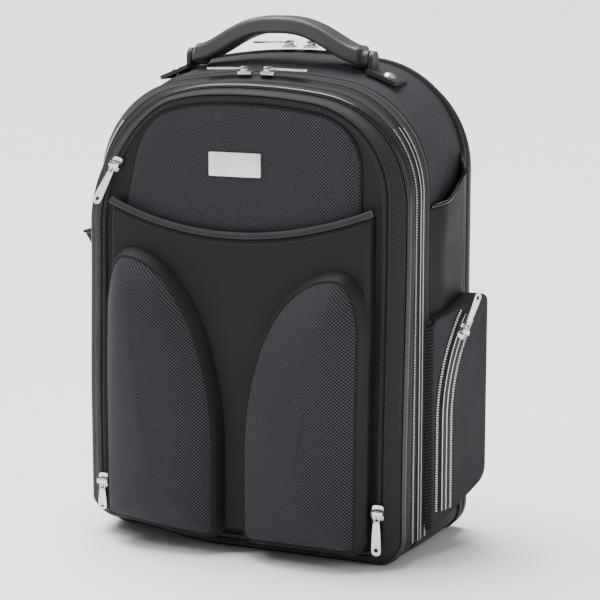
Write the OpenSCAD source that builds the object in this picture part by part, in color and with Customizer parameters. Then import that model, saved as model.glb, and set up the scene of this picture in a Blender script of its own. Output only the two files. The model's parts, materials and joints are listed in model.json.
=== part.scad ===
// Backpack-style flight bag: a soft case that opens like a clamshell, with an
// organiser front, two arched headset pockets, side pockets and a carry handle.
// X is across the bag, Y runs from front to back, Z is up; Z = 0 is the floor.

/* [Body] */
// Width of the front compartment at its piping
front_w = 310; // [296:2:320]
// Height of the front compartment at its piping
front_h = 418; // [410:2:426]
// Width of the bag at its back edge
rear_w = 326; // [318:2:336]
// Height of the bag at its rear zip
rear_h = 443; // [436:1:450]
// Thickness of the padded walls
wall = 4; // [3:0.5:5]

/* [Front] */
// Radius of the piping cords
piping_r = 2.5; // [2:0.25:2.5]
// How far the headset pocket lids stand out in front of their flat panel
lid_rise = 12; // [10:1:14]
// Extra height of each lid's padded crown
lid_crown = 14; // [8:1:16]
// Height of the lowest point of the document pocket's rim
rim_low = 286; // [282:1:290]
// How much higher that rim is at the sides
rim_rise = 26; // [18:1:30]

/* [Handle] */
// Width of the carry handle between the middles of its ends
handle_span = 162; // [156:2:164]
// Height of the grip's middle above its pivots
handle_rise = 26; // [24:1:32]
// Width of the grip, front to back
grip_depth = 30; // [24:1:32]
// Thickness of the grip
grip_t = 16; // [14:0.5:18]

/* [Straps] */
// Thickness of the padded shoulder straps
strap_t = 12; // [8:1:14]
// Width of the shoulder straps
strap_w = 62; // [54:2:68]

/* [Hidden] */

// Places along the depth of the bag, front to back.
front_y = -70;
zip_front_y = -58;
zip_y = -42;
zip_rear_y = -26;
gusset_end_y = 46;
rear_zip_y = 52;
rear_gusset_y = 58;
back_y = 66;
panel_y = -84;
document_y = -93;
part_gap = 0.2;
floor_z = 2;
zip_foot_z = 18;

corner_r = 94;
crown_r = 490;
base_r = 24;
tape_t = 2;
coil_rise = 1.2;
fabric_t = 2;

black = "#232427";
woven = "#2a2b2f";
silver = "#b9bbbd";

// ---- outlines ----------------------------------------------------------

function w_at(y) = lookup(y, [[front_y, front_w], [back_y, rear_w]]);
function h_at(y) = lookup(y, [[front_y, front_h], [rear_zip_y, rear_h], [back_y, rear_h - 5]]);
function side_x(y) = w_at(y) / 2;

function arc(cx, cz, r, a0, a1, n) =
    [for (i = [0 : n]) let (a = a0 + (a1 - a0) * i / n) [cx + r * cos(a), cz + r * sin(a)]];
function reversed(pts) = [for (i = [len(pts) - 1 : -1 : 0]) pts[i]];
function mirrored(pts) = [for (i = [len(pts) - 1 : -1 : 0]) [-pts[i][0], pts[i][1]]];
function inner_points(pts) = [for (i = [1 : len(pts) - 2]) pts[i]];

// Height of the corner arcs' centres below the crown arc that they meet.
function corner_z(w, h, rc, rt) = h - rt + sqrt(pow(rt - rc, 2) - pow(w / 2 - rc, 2));
function crown_angle(w, h, rc, rt) = atan2(corner_z(w, h, rc, rt) - (h - rt), w / 2 - rc);

// The arch over the top, from one side to the other.
function top_arch(w, h, rc, rt) =
    let (a = crown_angle(w, h, rc, rt),
         right = arc(w / 2 - rc, corner_z(w, h, rc, rt), rc, 0, a, 8))
    concat(right, inner_points(arc(0, h - rt, rt, a, 180 - a, 8)), mirrored(right));

// A closed outline with a crowned top and a flat foot, anticlockwise from the front.
function outline(w, h, rc, rt, rb, z0) =
    let (foot = arc(w / 2 - rb, z0 + rb, rb, -90, 0, 4))
    concat(foot, top_arch(w, h, rc, rt), mirrored(foot));

// The same outline left open below z_foot, for a zip that ends above the floor.
function open_outline(w, h, rc, rt, z_foot) =
    concat([[w / 2, z_foot]], top_arch(w, h, rc, rt), [[-w / 2, z_foot]]);

function at_y(pts, y) = [for (p = pts) [p[0], y, p[1]]];
function body_ring(y, grow = 0) =
    at_y(outline(w_at(y) + 2 * grow, h_at(y) + grow, corner_r + grow, crown_r + grow,
                 base_r + grow, floor_z - grow), y);
function body_arch(y, grow = 0, z_foot = zip_foot_z) =
    at_y(open_outline(w_at(y) + 2 * grow, h_at(y) + grow, corner_r + grow, crown_r + grow, z_foot), y);

// The body's outline drawn in by a margin, as points for a flat panel.
function inner_outline(y, margin) = [for (p = body_ring(y, -margin)) [p[0], p[2]]];

// The organiser panel's outline, drawn in from the front piping.
organizer_in = 16;
organizer_top = 8;
organizer_foot = 11;
function organizer_outline(grow = 0) =
    outline(front_w - 2 * organizer_in + 2 * grow, front_h - organizer_top + grow,
            corner_r - 12 + grow, crown_r - 8 + grow, 14 + grow, organizer_foot - grow);

// One headset pocket's arch: a tall ellipse on the inner side, a tight one on the outer side.
arch_in_x = 16;
arch_out_x = 121;
arch_apex = [97, 256];
arch_z0 = 19;
arch_spring = 96;
arch_shoulder = [119, 214];
function arch_points() = concat(
    [[arch_in_x + 4, arch_z0], [arch_out_x - 4, arch_z0], [arch_out_x, arch_z0 + 4]],
    [for (a = [0 : 15 : 75]) [arch_apex[0] + (arch_shoulder[0] - arch_apex[0]) * cos(a),
                              arch_shoulder[1] + (arch_apex[1] - arch_shoulder[1]) * sin(a)]],
    [for (a = [90 : 10 : 180]) [arch_apex[0] + (arch_apex[0] - arch_in_x) * cos(a),
                                arch_spring + (arch_apex[1] - arch_spring) * sin(a)]],
    [[arch_in_x, arch_z0 + 4]]);
function unit(v) = v / norm(v);
function normal_at(pts, i) =
    let (n = len(pts), a = unit(pts[i] - pts[(i + n - 1) % n]), b = unit(pts[(i + 1) % n] - pts[i]),
         m = unit(a + b))
    [m[1], -m[0]] / max(0.5, sqrt((1 + a * b) / 2));
function grown(pts, d) = [for (i = [0 : len(pts) - 1]) pts[i] + normal_at(pts, i) * d];
function arch_side(side, d) =
    let (p = grown(arch_points(), d)) side > 0 ? p : mirrored(p);

// ---- solids from rings --------------------------------------------------

function flat(rings) = [for (r = rings, p = r) p];
function strip_faces(first, n, closed, flip, k) =
    [for (i = [0 : n - (closed ? 1 : 2)])
        let (a = first + k * n + i, b = first + k * n + (i + 1) % n, c = b + n, d = a + n)
        each flip ? [[d, c, b], [d, b, a]] : [[a, b, c], [a, c, d]]];

// A wall between two stacks of rings; rings run front to back.
module wall_between(outer, inner, closed = true) {
    n = len(outer[0]);
    m = len(outer);
    second = n * m;
    last = n * (m - 1);
    ends = closed ? n - 1 : n - 2;
    faces = concat(
        [for (k = [0 : m - 2]) each strip_faces(0, n, closed, false, k)],
        [for (k = [0 : m - 2]) each strip_faces(second, n, closed, true, k)],
        [for (i = [0 : ends]) let (j = (i + 1) % n)
            each [[i, second + i, second + j], [i, second + j, j]]],
        [for (i = [0 : ends]) let (j = (i + 1) % n)
            each [[last + i, last + j, second + last + j],
                  [last + i, second + last + j, second + last + i]]],
        closed ? [] : [for (k = [0 : m - 2]) let (o = k * n, p = o + n, q = second + p, r = second + o)
            each [[o, p, q], [o, q, r]]],
        closed ? [] : [for (k = [0 : m - 2])
            let (o = k * n + n - 1, p = o + n, q = second + p, r = second + o)
            each [[o, r, q], [o, q, p]]]);
    polyhedron(points = concat(flat(outer), flat(inner)), faces = faces, convexity = 6);
}

// A solid through a stack of rings, closed at both ends.
module solid_through(rings) {
    n = len(rings[0]);
    m = len(rings);
    polyhedron(points = flat(rings), faces = concat(
        [for (k = [0 : m - 2]) each strip_faces(0, n, true, false, k)],
        [[for (i = [n - 1 : -1 : 0]) i]],
        [[for (i = [0 : n - 1]) (m - 1) * n + i]]), convexity = 4);
}

// A wall of the body between two depths.
module body_band(ys, t, grow = 0) {
    wall_between([for (y = ys) body_ring(y, grow)], [for (y = ys) body_ring(y, grow - t)]);
}
// One half of a zip: its tape, with the raised coil along the edge at coil_y.
coil_w = 2.2;
function zip_row(row, grow, closed) =
    closed ? body_ring(row[0], row[1] + grow) : body_arch(row[0], row[1] + grow, zip_foot_z);
module zip_half(coil_y, edge_y, closed) {
    d = sign(edge_y - coil_y);
    steps = [[coil_y + d * part_gap, coil_rise], [coil_y + d * (coil_w - 0.3), coil_rise],
             [coil_y + d * coil_w, 0], [edge_y - d * part_gap, 0]];
    rows = d > 0 ? steps : reversed(steps);
    wall_between([for (r = rows) zip_row(r, 0, closed)],
                 [for (r = rows) zip_row([r[0], 0], -tape_t, closed)], closed);
}

// A flat panel standing across the bag between two depths.
module panel(pts, y0, y1) {
    translate([0, y1, 0]) rotate([90, 0, 0]) linear_extrude(y1 - y0) polygon(pts);
}

// A round cord along the body's outline.
module piping(y, grow) {
    ring = body_ring(y, grow);
    n = len(ring);
    sides = 8;
    function section(i) =
        let (a = ring[(i + n - 1) % n], b = ring[(i + 1) % n], d = unit(b - a), out = [d[2], 0, -d[0]])
        [for (s = [0 : sides - 1]) let (t = 360 * s / sides)
            ring[i] + piping_r * (cos(t) * out + sin(t) * [0, 1, 0])];
    pts = [for (i = [0 : n - 1]) each section(i)];
    faces = [for (i = [0 : n - 1], s = [0 : sides - 1])
        let (a = i * sides + s, b = i * sides + (s + 1) % sides,
             c = ((i + 1) % n) * sides + (s + 1) % sides, d = ((i + 1) % n) * sides + s)
        each [[a, d, c], [a, c, b]]];
    polyhedron(points = pts, faces = faces, convexity = 8);
}

// ---- body -------------------------------------------------------------------

// The part of a band that lies below the ends of the zip.
module zip_foot(y0, y1) {
    intersection() {
        body_band([y0, y1], wall);
        translate([-300, y0 - 1, -10]) cube([600, y1 - y0 + 2, zip_foot_z - part_gap + 10]);
    }
}
module main_gusset() {
    color(black) {
        body_band([zip_rear_y, 0, gusset_end_y], wall);
        zip_foot(zip_y + part_gap, zip_rear_y);
    }
}
module base_panel() {
    color(black) translate([-126, zip_y + part_gap, 0]) cube([252, gusset_end_y - zip_y - 2 * part_gap, floor_z]);
}
module base_board() {
    color(black) translate([-126, zip_y + 1, floor_z + wall + part_gap]) cube([252, 26 - zip_y - 2, 2.5]);
}
module divider_panel() { color(black) panel(inner_outline(26, wall + part_gap), 26, 30); }
module main_zip_rear_half() { color(silver) zip_half(zip_y, zip_rear_y, false); }
module rear_zip_front_half() { color(black) zip_half(rear_zip_y, gusset_end_y, true); }

// ---- rear section -----------------------------------------------------------

module rear_zip_rear_half() { color(black) zip_half(rear_zip_y, rear_gusset_y, true); }
module rear_gusset() { color(black) body_band([rear_gusset_y, back_y], wall); }
module rear_piping() { color(black) piping(back_y + piping_r + part_gap, -piping_r - 0.3); }
module back_panel() { color(black) panel(inner_outline(back_y, wall + part_gap), back_y - 4, back_y); }
module laptop_sleeve() {
    color(black) translate([-128, 54, floor_z + wall + part_gap]) cube([256, 2, 250]);
}
pad_y = back_y + part_gap;
pad_t = 13;
module rounded_block(w, h, t, r) {
    panel(concat(arc(w / 2 - r, r, r, -90, 0, 5), arc(w / 2 - r, h - r, r, 0, 90, 5),
                 arc(-w / 2 + r, h - r, r, 90, 180, 5), arc(-w / 2 + r, r, r, 180, 270, 5)), 0, t);
}
module back_pads() {
    color(woven) {
        for (side = [-1, 1]) translate([side * 68, pad_y, 122]) rounded_block(104, 236, pad_t, 24);
        translate([0, pad_y, 40]) rounded_block(240, 74, pad_t, 24);
    }
}

// ---- shoulder straps --------------------------------------------------------

strap_y = pad_y + pad_t + 1;
strap_hinge = [0, pad_y + 10.5, 392];
root_r = 5;
webbing_y = strap_y + 3;
buckle_z = 108;
// The strap's centreline leaves its anchor near the top and bows outwards on its way down.
strap_path = [[42, 386], [50, 350], [64, 310], [79, 265], [90, 220], [94, 180], [92, 140]];
function strap_half(i) = strap_w / 2 * lookup(i, [[0, 0.82], [1, 0.95], [2, 1], [5, 0.9], [6, 0.6]]);
function strap_edge(side) = [for (i = [0 : len(strap_path) - 1])
    let (d = unit(strap_path[min(len(strap_path) - 1, i + 1)] - strap_path[max(0, i - 1)]))
    strap_path[i] + side * strap_half(i) * [-d[1], d[0]]];
function sided(pts, side) = [for (p = pts) [side * p[0], p[1]]];
module shoulder_strap(side) {
    color(black) {
        panel(sided(concat(strap_edge(1), reversed(strap_edge(-1))), side), strap_y, strap_y + strap_t);
        // The sewn end, rounded about the line on which it swings.
        translate([side * 42 - 22, strap_hinge[1], strap_hinge[2]]) rotate([0, 90, 0])
            cylinder(r = root_r, h = 44, $fn = 48);
        translate([side * 42 - 22, strap_y, strap_hinge[2] - 14]) cube([44, 3, 14]);
    }
}
module shoulder_strap_left() { shoulder_strap(-1); }
module shoulder_strap_right() { shoulder_strap(1); }
module ladder_lock(side) {
    color(black) translate([side * 92, webbing_y, buckle_z]) difference() {
        translate([-18, 0, 0]) cube([36, 5, 27]);
        for (z = [4, 11.5, 19]) translate([-13.5, -1, z]) cube([27, 7, 3.6]);
    }
}
module ladder_lock_left() { ladder_lock(-1); }
module ladder_lock_right() { ladder_lock(1); }
module strap_webbing() {
    color(black) for (side = [-1, 1])
        panel(sided([[80, buckle_z - 0.5], [105, buckle_z - 0.5], [132, 40], [107, 40]], side),
              webbing_y, webbing_y + 1.8);
}
module strap_anchors() {
    color(black) {
        translate([0, pad_y, 376]) rounded_block(150, 36, 4, 10);
        for (side = [-1, 1])
            panel(sided([[102, 39.5], [138, 39.5], [146, 30], [118, 30]], side), pad_y, webbing_y + 2);
    }
}

// ---- side pockets -----------------------------------------------------------

pocket_y0 = -31;
pocket_y1 = 45;
// A block on the bag's flank; each pair gives a size at its front and at its rear edge.
module side_block(y, foot, top, near, out, side = 1) {
    x = [side_x(y[0]) + near, side_x(y[1]) + near, side_x(y[0]) + out[0], side_x(y[1]) + out[1]];
    pts = [[x[0], y[0], foot[0]], [x[2], y[0], foot[0]], [x[3], y[1], foot[1]], [x[1], y[1], foot[1]],
           [x[0], y[0], top[0]], [x[2], y[0], top[0]], [x[3], y[1], top[1]], [x[1], y[1], top[1]]];
    faces = [[0, 1, 2], [0, 2, 3], [4, 7, 6], [4, 6, 5], [0, 4, 5], [0, 5, 1],
             [1, 5, 6], [1, 6, 2], [2, 6, 7], [2, 7, 3], [3, 7, 4], [3, 4, 0]];
    mirror([side > 0 ? 0 : 1, 0, 0]) polyhedron(points = pts, faces = faces);
}

// The pocket's zip runs straight up and then curves back towards the bag's rear edge.
// It is drawn on the pocket's slanting face: Y runs along the face, X is outwards.
side_foot = [20, 58];
side_top = [234, 219];
side_out = [7, 28];
side_face_y = pocket_y1 - pocket_y0;
side_lean = atan2(side_x(pocket_y1) + side_out[1] - side_x(pocket_y0) - side_out[0], side_face_y);
side_zip_v = 17;
side_zip_z0 = 42;
side_bend_z = 122;
side_bend_r = 152;
side_bend_end = 37;
side_tape_w = 24;
function bend(r) = [for (i = [0 : 8]) let (a = 180 - side_bend_end * i / 8)
    [side_zip_v + side_bend_r + r * cos(a), side_bend_z + r * sin(a)]];
module on_face(side) {
    mirror([side > 0 ? 0 : 1, 0, 0]) translate([side_x(pocket_y0) + side_out[0], pocket_y0, 0])
        rotate([0, 0, -side_lean]) children();
}
module side_zip_slab(w, end, x0, x1) {
    translate([x0, 0, 0]) rotate([90, 0, 90]) linear_extrude(x1 - x0) polygon(concat(
        [[side_zip_v - w / 2, side_zip_z0 - end]], bend(side_bend_r + w / 2),
        reversed(bend(side_bend_r - w / 2)), [[side_zip_v + w / 2, side_zip_z0 - end]]));
}
side_y = [pocket_y0, pocket_y1];
module side_pockets() {
    color(woven) for (side = [-1, 1]) difference() {
        side_block(side_y, side_foot, side_top, part_gap, side_out, side);
        side_block(side_y + [2, -2], side_foot + [2.5, 2.5], side_top - [2, 2], 1.5, side_out - [2.5, 2.5], side);
        on_face(side) side_zip_slab(side_tape_w + 0.4, 0.2, -5, 5);
    }
}
module side_zips() { color(silver) for (side = [-1, 1]) on_face(side) side_zip_slab(side_tape_w, 0, -2, -0.2); }

phone_foot = [232, 232];
phone_top = [316, 357];
phone_out = [9, 11];
phone_y = [zip_rear_y + 3, pocket_y1];
module phone_pocket() {
    color(black) difference() {
        side_block(phone_y, phone_foot, phone_top, part_gap, phone_out);
        side_block(phone_y + [2, -2], phone_foot + [8, 8], phone_top + [5, 5], -3, phone_out - [2, 2]);
    }
}

// A tapering sleeve that stands above the left side pocket and gapes at its rim.
sleeve_y = [-24, 20];
sleeve_z = [238, 274];
sleeve_out = [13, 36];
module sleeve_block(y0, y1, z0, z1, near, out0, out1) {
    slope = (side_x(y1) - side_x(y0)) / (y1 - y0);
    translate([-side_x(sleeve_y[0]), sleeve_y[0], 0]) rotate([0, 0, atan(slope)]) translate([0, y1 - sleeve_y[0], 0])
        rotate([90, 0, 0]) linear_extrude(y1 - y0) polygon([[-near, z0], [-near, z1], [-out1, z1], [-out0, z0]]);
}
module tester_sleeve() {
    color(black) difference() {
        sleeve_block(sleeve_y[0], sleeve_y[1], sleeve_z[0], sleeve_z[1], part_gap, sleeve_out[0], sleeve_out[1]);
        sleeve_block(sleeve_y[0] + 2, sleeve_y[1] - 2, sleeve_z[0] + 2, sleeve_z[1] + 2, 2, sleeve_out[0] - 2, sleeve_out[1] - 1);
    }
}

// ---- handle ---------------------------------------------------------------

handle_y = 9;
pivot_z = 438.5;
pivot_r = 4.5;
pivot_gap = 0.06;
half_span = handle_span / 2;
// The grip's centreline: two sloping legs under a round top.
function grip_line(x) =
    pivot_z + handle_rise * (0.5 + 0.5 * cos(180 * min(1, pow(abs(x) / half_span, 1.35))));
grip_xs = [for (i = [-12 : 12]) half_span * i / 12];
function grip_side(d) = [for (x = grip_xs)
    let (s = unit([1, grip_line(x + 0.5) - grip_line(x - 0.5)])) [x, grip_line(x)] + d * [-s[1], s[0]]];
module handle_grip() {
    color(black) difference() {
        union() {
            panel(concat(grip_side(grip_t - 4), reversed(grip_side(-4))),
                  handle_y - grip_depth / 2, handle_y + grip_depth / 2);
            for (side = [-1, 1]) translate([side * half_span - 6.5, handle_y, pivot_z]) rotate([0, 90, 0])
                cylinder(r = pivot_r + 3.4, h = 13, $fn = 48);
        }
        panel(concat(core_side(6.2), reversed(core_side(2.8))), handle_y - 10.7, handle_y + 10.7);
        for (side = [-1, 1]) {
            translate([side * half_span - 12, handle_y, pivot_z]) rotate([0, 90, 0])
                cylinder(r = pivot_r + pivot_gap, h = 24, $fn = 48);
            // Lower edges cut back so that the legs clear the bag when the grip tilts.
            for (edge = [-1, 1]) translate([side * (half_span - 14), handle_y + edge * grip_depth / 2, pivot_z - 6])
                rotate([45, 0, 0]) cube([56, 16, 16], center = true);
        }
    }
}
core_xs = [for (i = [-9 : 9]) (half_span - 18) * i / 9];
function core_side(d) = [for (x = core_xs)
    let (s = unit([1, grip_line(x + 0.5) - grip_line(x - 0.5)])) [x, grip_line(x)] + d * [-s[1], s[0]]];
module handle_core() {
    color(silver) panel(concat(core_side(6), reversed(core_side(3))), handle_y - 10.5, handle_y + 10.5);
}
tab_x = half_span + 7.5;
rivet_x = 18;
tab_lean = 22;
module on_tab(side) {
    mirror([side > 0 ? 0 : 1, 0, 0]) translate([tab_x, handle_y, pivot_z - 10]) rotate([0, tab_lean, 0]) children();
}
module handle_tabs() {
    color(black) for (side = [-1, 1]) {
        mirror([side > 0 ? 0 : 1, 0, 0]) translate([tab_x, handle_y, pivot_z]) {
            translate([-15, 0, 0]) rotate([0, 90, 0]) cylinder(r = pivot_r, h = 19, $fn = 48);
            rotate([0, 90, 0]) cylinder(r = 7.5, h = 4, $fn = 48);
            translate([0, -7.5, -11]) cube([4, 15, 11]);
        }
        difference() {
            on_tab(side) translate([0, -14, -1]) cube([30, 28, 3.5]);
            on_tab(side) translate([rivet_x, 0, -10]) cylinder(r = 2.55, h = 20, $fn = 32);
        }
    }
}
module handle_rivets() {
    color(silver) for (side = [-1, 1]) on_tab(side) translate([rivet_x, 0, 0]) {
        translate([0, 0, -7]) cylinder(r = 2.5, h = 10, $fn = 32);
        translate([0, 0, 2.6]) cylinder(r1 = 6, r2 = 4, h = 2, $fn = 32);
    }
}
module rivet_washers() {
    color(silver) for (side = [-1, 1]) on_tab(side) translate([rivet_x, 0, -6.8]) difference() {
        cylinder(r = 8, h = 1.2, $fn = 32);
        translate([0, 0, -1]) cylinder(r = 2.52, h = 4, $fn = 32);
    }
}

// ---- front compartment ------------------------------------------------------

module front_gusset() {
    color(black) {
        body_band([front_y, zip_front_y], wall);
        zip_foot(zip_front_y, zip_y - part_gap);
    }
}
module front_piping() { color(black) piping(front_y - piping_r - part_gap, -1); }
module main_zip_front_half() { color(silver) zip_half(zip_y, zip_front_y, false); }
module front_lining() {
    color(black) panel([for (p = inner_outline(-50, wall + 1)) [p[0], max(zip_foot_z - 6, p[1])]], -52, -50);
}
border_y = front_y - 2 * piping_r - 2 * part_gap;
module front_border() {
    color(black) wall_between(
        [at_y(organizer_outline(0.4), panel_y - 1), body_ring(border_y, -2.6), body_ring(front_y, -wall - 2.2)],
        [at_y(organizer_outline(0.4), panel_y + 2), body_ring(border_y + 1, -6.2), body_ring(front_y, -wall - 4.2)]);
}

// ---- organiser panel --------------------------------------------------------

module organizer_panel() { color(black) panel(organizer_outline(0), panel_y, panel_y + fabric_t); }
zip_back_y = panel_y - part_gap;
module organizer_zip() {
    color(black) wall_between(
        [at_y(organizer_outline(-0.2), zip_back_y - 1.2), at_y(organizer_outline(-0.2), zip_back_y)],
        [at_y(organizer_outline(-5.5), zip_back_y - 1.2), at_y(organizer_outline(-5.5), zip_back_y)]);
}
upper_w = 228;
upper_top = 401;
function upper_outline(grow) = outline(upper_w + 2 * grow, upper_top + grow, 46 + grow, 460 + grow,
                                       10 + grow, rim_low - 90 - grow);
module upper_panel() {
    color(woven) solid_through([at_y(upper_outline(-14), zip_back_y - 3.4), at_y(upper_outline(-5), zip_back_y - 2.8),
                                at_y(upper_outline(0), zip_back_y)]);
}

// The document pocket: a flat bag with its own outline and a rim that sags in the middle.
rim_half = 128;
pocket_foot_z = 17;
function rim_z(x) = rim_low + rim_rise * pow(x / rim_half, 2);
function pocket_outline(in, lift) = concat(
    arc(rim_half - 10, pocket_foot_z + 10, 10 - in, -90, 0, 4),
    [for (i = [12 : -1 : -12]) let (x = (rim_half - in) * i / 12) [x, rim_z(x) + lift]],
    arc(-rim_half + 10, pocket_foot_z + 10, 10 - in, 180, 270, 4));
module document_pocket() {
    color(black) difference() {
        panel(pocket_outline(0, 0), document_y, zip_back_y - 3.6);
        panel(pocket_outline(2, 20), document_y + 1, zip_back_y);
    }
}
module pocket_binding() {
    xs = [for (i = [-12 : 12]) rim_half * i / 12];
    color(black) panel(concat([for (x = xs) [x, rim_z(x) + part_gap]],
                              [for (x = reversed(xs)) [x, rim_z(x) + 5]]), document_y - 0.5, document_y + 1.5);
}
plate_size = [50, 21];
plate_z = 350;
module name_plate() {
    color(silver) translate([-plate_size[0] / 2, zip_back_y - 5.2, plate_z - plate_size[1] / 2])
        cube([plate_size[0], 1.6, plate_size[1]]);
}

// Each headset pocket: a sloping band and a padded lid that closes it.
band_w = 7;
lid_base_y = document_y - 0.8;
lid_edge_y = lid_base_y - lid_rise;
module lid_band(side) {
    color(black) wall_between(
        [at_y(arch_side(side, 0), lid_edge_y), at_y(arch_side(side, band_w), lid_base_y)],
        [at_y(arch_side(side, -2), lid_edge_y), at_y(arch_side(side, band_w - 3), lid_base_y)]);
}
lid_insets = [30, 18, 8, 2.3];
lid_heights = [1, 0.8, 0.42, 0];
function lid_ring(side, k, in, back) =
    at_y(arch_side(side, -lid_insets[k] - in), lid_edge_y - lid_crown * lid_heights[k] + back);
module headset_lid(side) {
    color(woven) solid_through([lid_ring(side, 0, 0, 0), lid_ring(side, 1, 0, 0), lid_ring(side, 2, 0, 0),
                                lid_ring(side, 3, 0, 0), lid_ring(side, 3, 0, 3)]);
}
module headset_lid_left() { headset_lid(-1); }
module headset_lid_right() { headset_lid(1); }
module lid_band_left() { lid_band(-1); }
module lid_band_right() { lid_band(1); }

// ---- zip sliders and their pullers ------------------------------------------
// Each is drawn with its zip along Z, the face of the bag at Y = 0 and outwards at -Y.

pin_r = 1.2;
pin_gap = 0.05;
pin_out = 5.4;
puller_l = 37;
puller_t = 1.6;
module slider() {
    color(silver) {
        translate([-5.5, -2.6, -7]) cube([11, 2.4, 14]);
        for (side = [-1, 1]) translate([side * 4.5 - 1, -pin_out - 1.6, -2.5]) cube([2, pin_out - 0.6, 5]);
        translate([-4.5, -pin_out, 0]) rotate([0, 90, 0]) cylinder(r = pin_r, h = 9, $fn = 24);
    }
}
module puller() {
    color(silver) difference() {
        union() {
            translate([-2.9, -pin_out, 0]) rotate([0, 90, 0]) cylinder(r = 2.5, h = 5.8, $fn = 24);
            translate([-2.9, -pin_out - puller_t / 2, -9]) cube([5.8, puller_t, 9]);
            translate([-4, -pin_out - puller_t / 2, -puller_l + 4]) cube([8, puller_t, puller_l - 12]);
            translate([0, -pin_out + puller_t / 2, -puller_l + 4]) rotate([90, 0, 0])
                cylinder(r = 5, h = puller_t, $fn = 32);
        }
        translate([-4, -pin_out, 0]) rotate([0, 90, 0]) cylinder(r = pin_r + pin_gap, h = 8, $fn = 24);
        translate([0, -pin_out + 2, -puller_l + 4]) rotate([90, 0, 0]) cylinder(r = 2, h = 4, $fn = 24);
    }
}

// On the crown of the bag: the zip runs along X and the puller points away from the middle.
module on_top(y, x) {
    lean = asin(x / crown_r);
    translate([0, y, h_at(y) - crown_r]) rotate([0, lean, 0]) translate([0, 0, crown_r + coil_rise + slider_lift])
        rotate([0, 0, x < 0 ? -90 : 90]) rotate([-90, 0, 0]) children();
}
main_x = 11;
rear_x = 11;
// The crown slopes across the zip, so its sliders stand this far above the coil.
slider_lift = 1;
module main_slider_left() { on_top(zip_y, -main_x) slider(); }
module main_puller_left() { on_top(zip_y, -main_x) puller(); }
module main_slider_right() { on_top(zip_y, main_x) slider(); }
module main_puller_right() { on_top(zip_y, main_x) puller(); }
module rear_slider_left() { on_top(rear_zip_y, -rear_x) slider(); }
module rear_puller_left() { on_top(rear_zip_y, -rear_x) puller(); }
module rear_slider_right() { on_top(rear_zip_y, rear_x) slider(); }
module rear_puller_right() { on_top(rear_zip_y, rear_x) puller(); }

// On the organiser's zip: one on the rounded corner, two near the foot.
slider_back_y = zip_back_y - 1.2;
organizer_half = front_w / 2 - organizer_in;
organizer_r = corner_r - 12;
organizer_corner = [organizer_half - organizer_r,
                    corner_z(2 * organizer_half, front_h - organizer_top, organizer_r, crown_r - 8)];
corner_angle = 16;
foot_slider_z = 52;
module on_corner() {
    translate([-organizer_corner[0], slider_back_y, organizer_corner[1]]) rotate([0, corner_angle, 0])
        translate([2.8 - organizer_r, 0, 0]) children();
}
module on_side_track(side) { translate([side * (organizer_half - 2.8), slider_back_y, foot_slider_z]) children(); }
module organizer_slider_top() { on_corner() slider(); }
module organizer_puller_top() { on_corner() puller(); }
module organizer_slider_right() { on_side_track(1) slider(); }
module organizer_puller_right() { on_side_track(1) puller(); }
module organizer_slider_left() { on_side_track(-1) slider(); }
module organizer_puller_left() { on_side_track(-1) puller(); }

// On a side pocket, along the curved part of its zip.
module on_side(side, angle) {
    on_face(side) translate([0, side_zip_v + side_bend_r, side_bend_z]) rotate([-angle, 0, 0])
        translate([0, -side_bend_r, 0]) rotate([0, 0, 90]) children();
}
side_angle = [31, 29];
module side_slider_right() { on_side(1, side_angle[0]) slider(); }
module side_puller_right() { on_side(1, side_angle[0]) rotate([0, 180, 0]) puller(); }
module side_slider_left() { on_side(-1, side_angle[1]) slider(); }
module side_puller_left() { on_side(-1, side_angle[1]) puller(); }

main_gusset();
base_panel();
base_board();
divider_panel();
main_zip_rear_half();
rear_zip_front_half();
handle_tabs();
handle_rivets();
rivet_washers();
phone_pocket();
tester_sleeve();
side_pockets();
side_zips();
rear_zip_rear_half();
rear_gusset();
rear_piping();
back_panel();
back_pads();
laptop_sleeve();
strap_anchors();
strap_webbing();
front_gusset();
front_piping();
front_border();
front_lining();
main_zip_front_half();
organizer_panel();
organizer_zip();
upper_panel();
document_pocket();
pocket_binding();
name_plate();
headset_lid_left();
lid_band_left();
headset_lid_right();
lid_band_right();
handle_grip();
handle_core();
shoulder_strap_left();
ladder_lock_left();
shoulder_strap_right();
ladder_lock_right();
main_slider_left();
main_puller_left();
main_slider_right();
main_puller_right();
rear_slider_left();
rear_puller_left();
rear_slider_right();
rear_puller_right();
organizer_slider_top();
organizer_puller_top();
organizer_slider_right();
organizer_puller_right();
organizer_slider_left();
organizer_puller_left();
side_slider_right();
side_puller_right();
side_slider_left();
side_puller_left();
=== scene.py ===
"""Looks of a soft flight bag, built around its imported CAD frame.

The bag is lofted from its own outlines: gussets, zips, piping and panels are
cloth sheets that follow rings of points, padded pieces are pillows drawn in
from their seams, and metal parts are small turned and bevelled solids.
Sizes are in millimetres and are turned to metres as each mesh is made.
"""

import json
import logging
import math
from dataclasses import dataclass
from enum import Enum
from typing import Callable, Iterable, Sequence

import bmesh
import bpy
from mathutils import Matrix, Vector, noise


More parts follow.
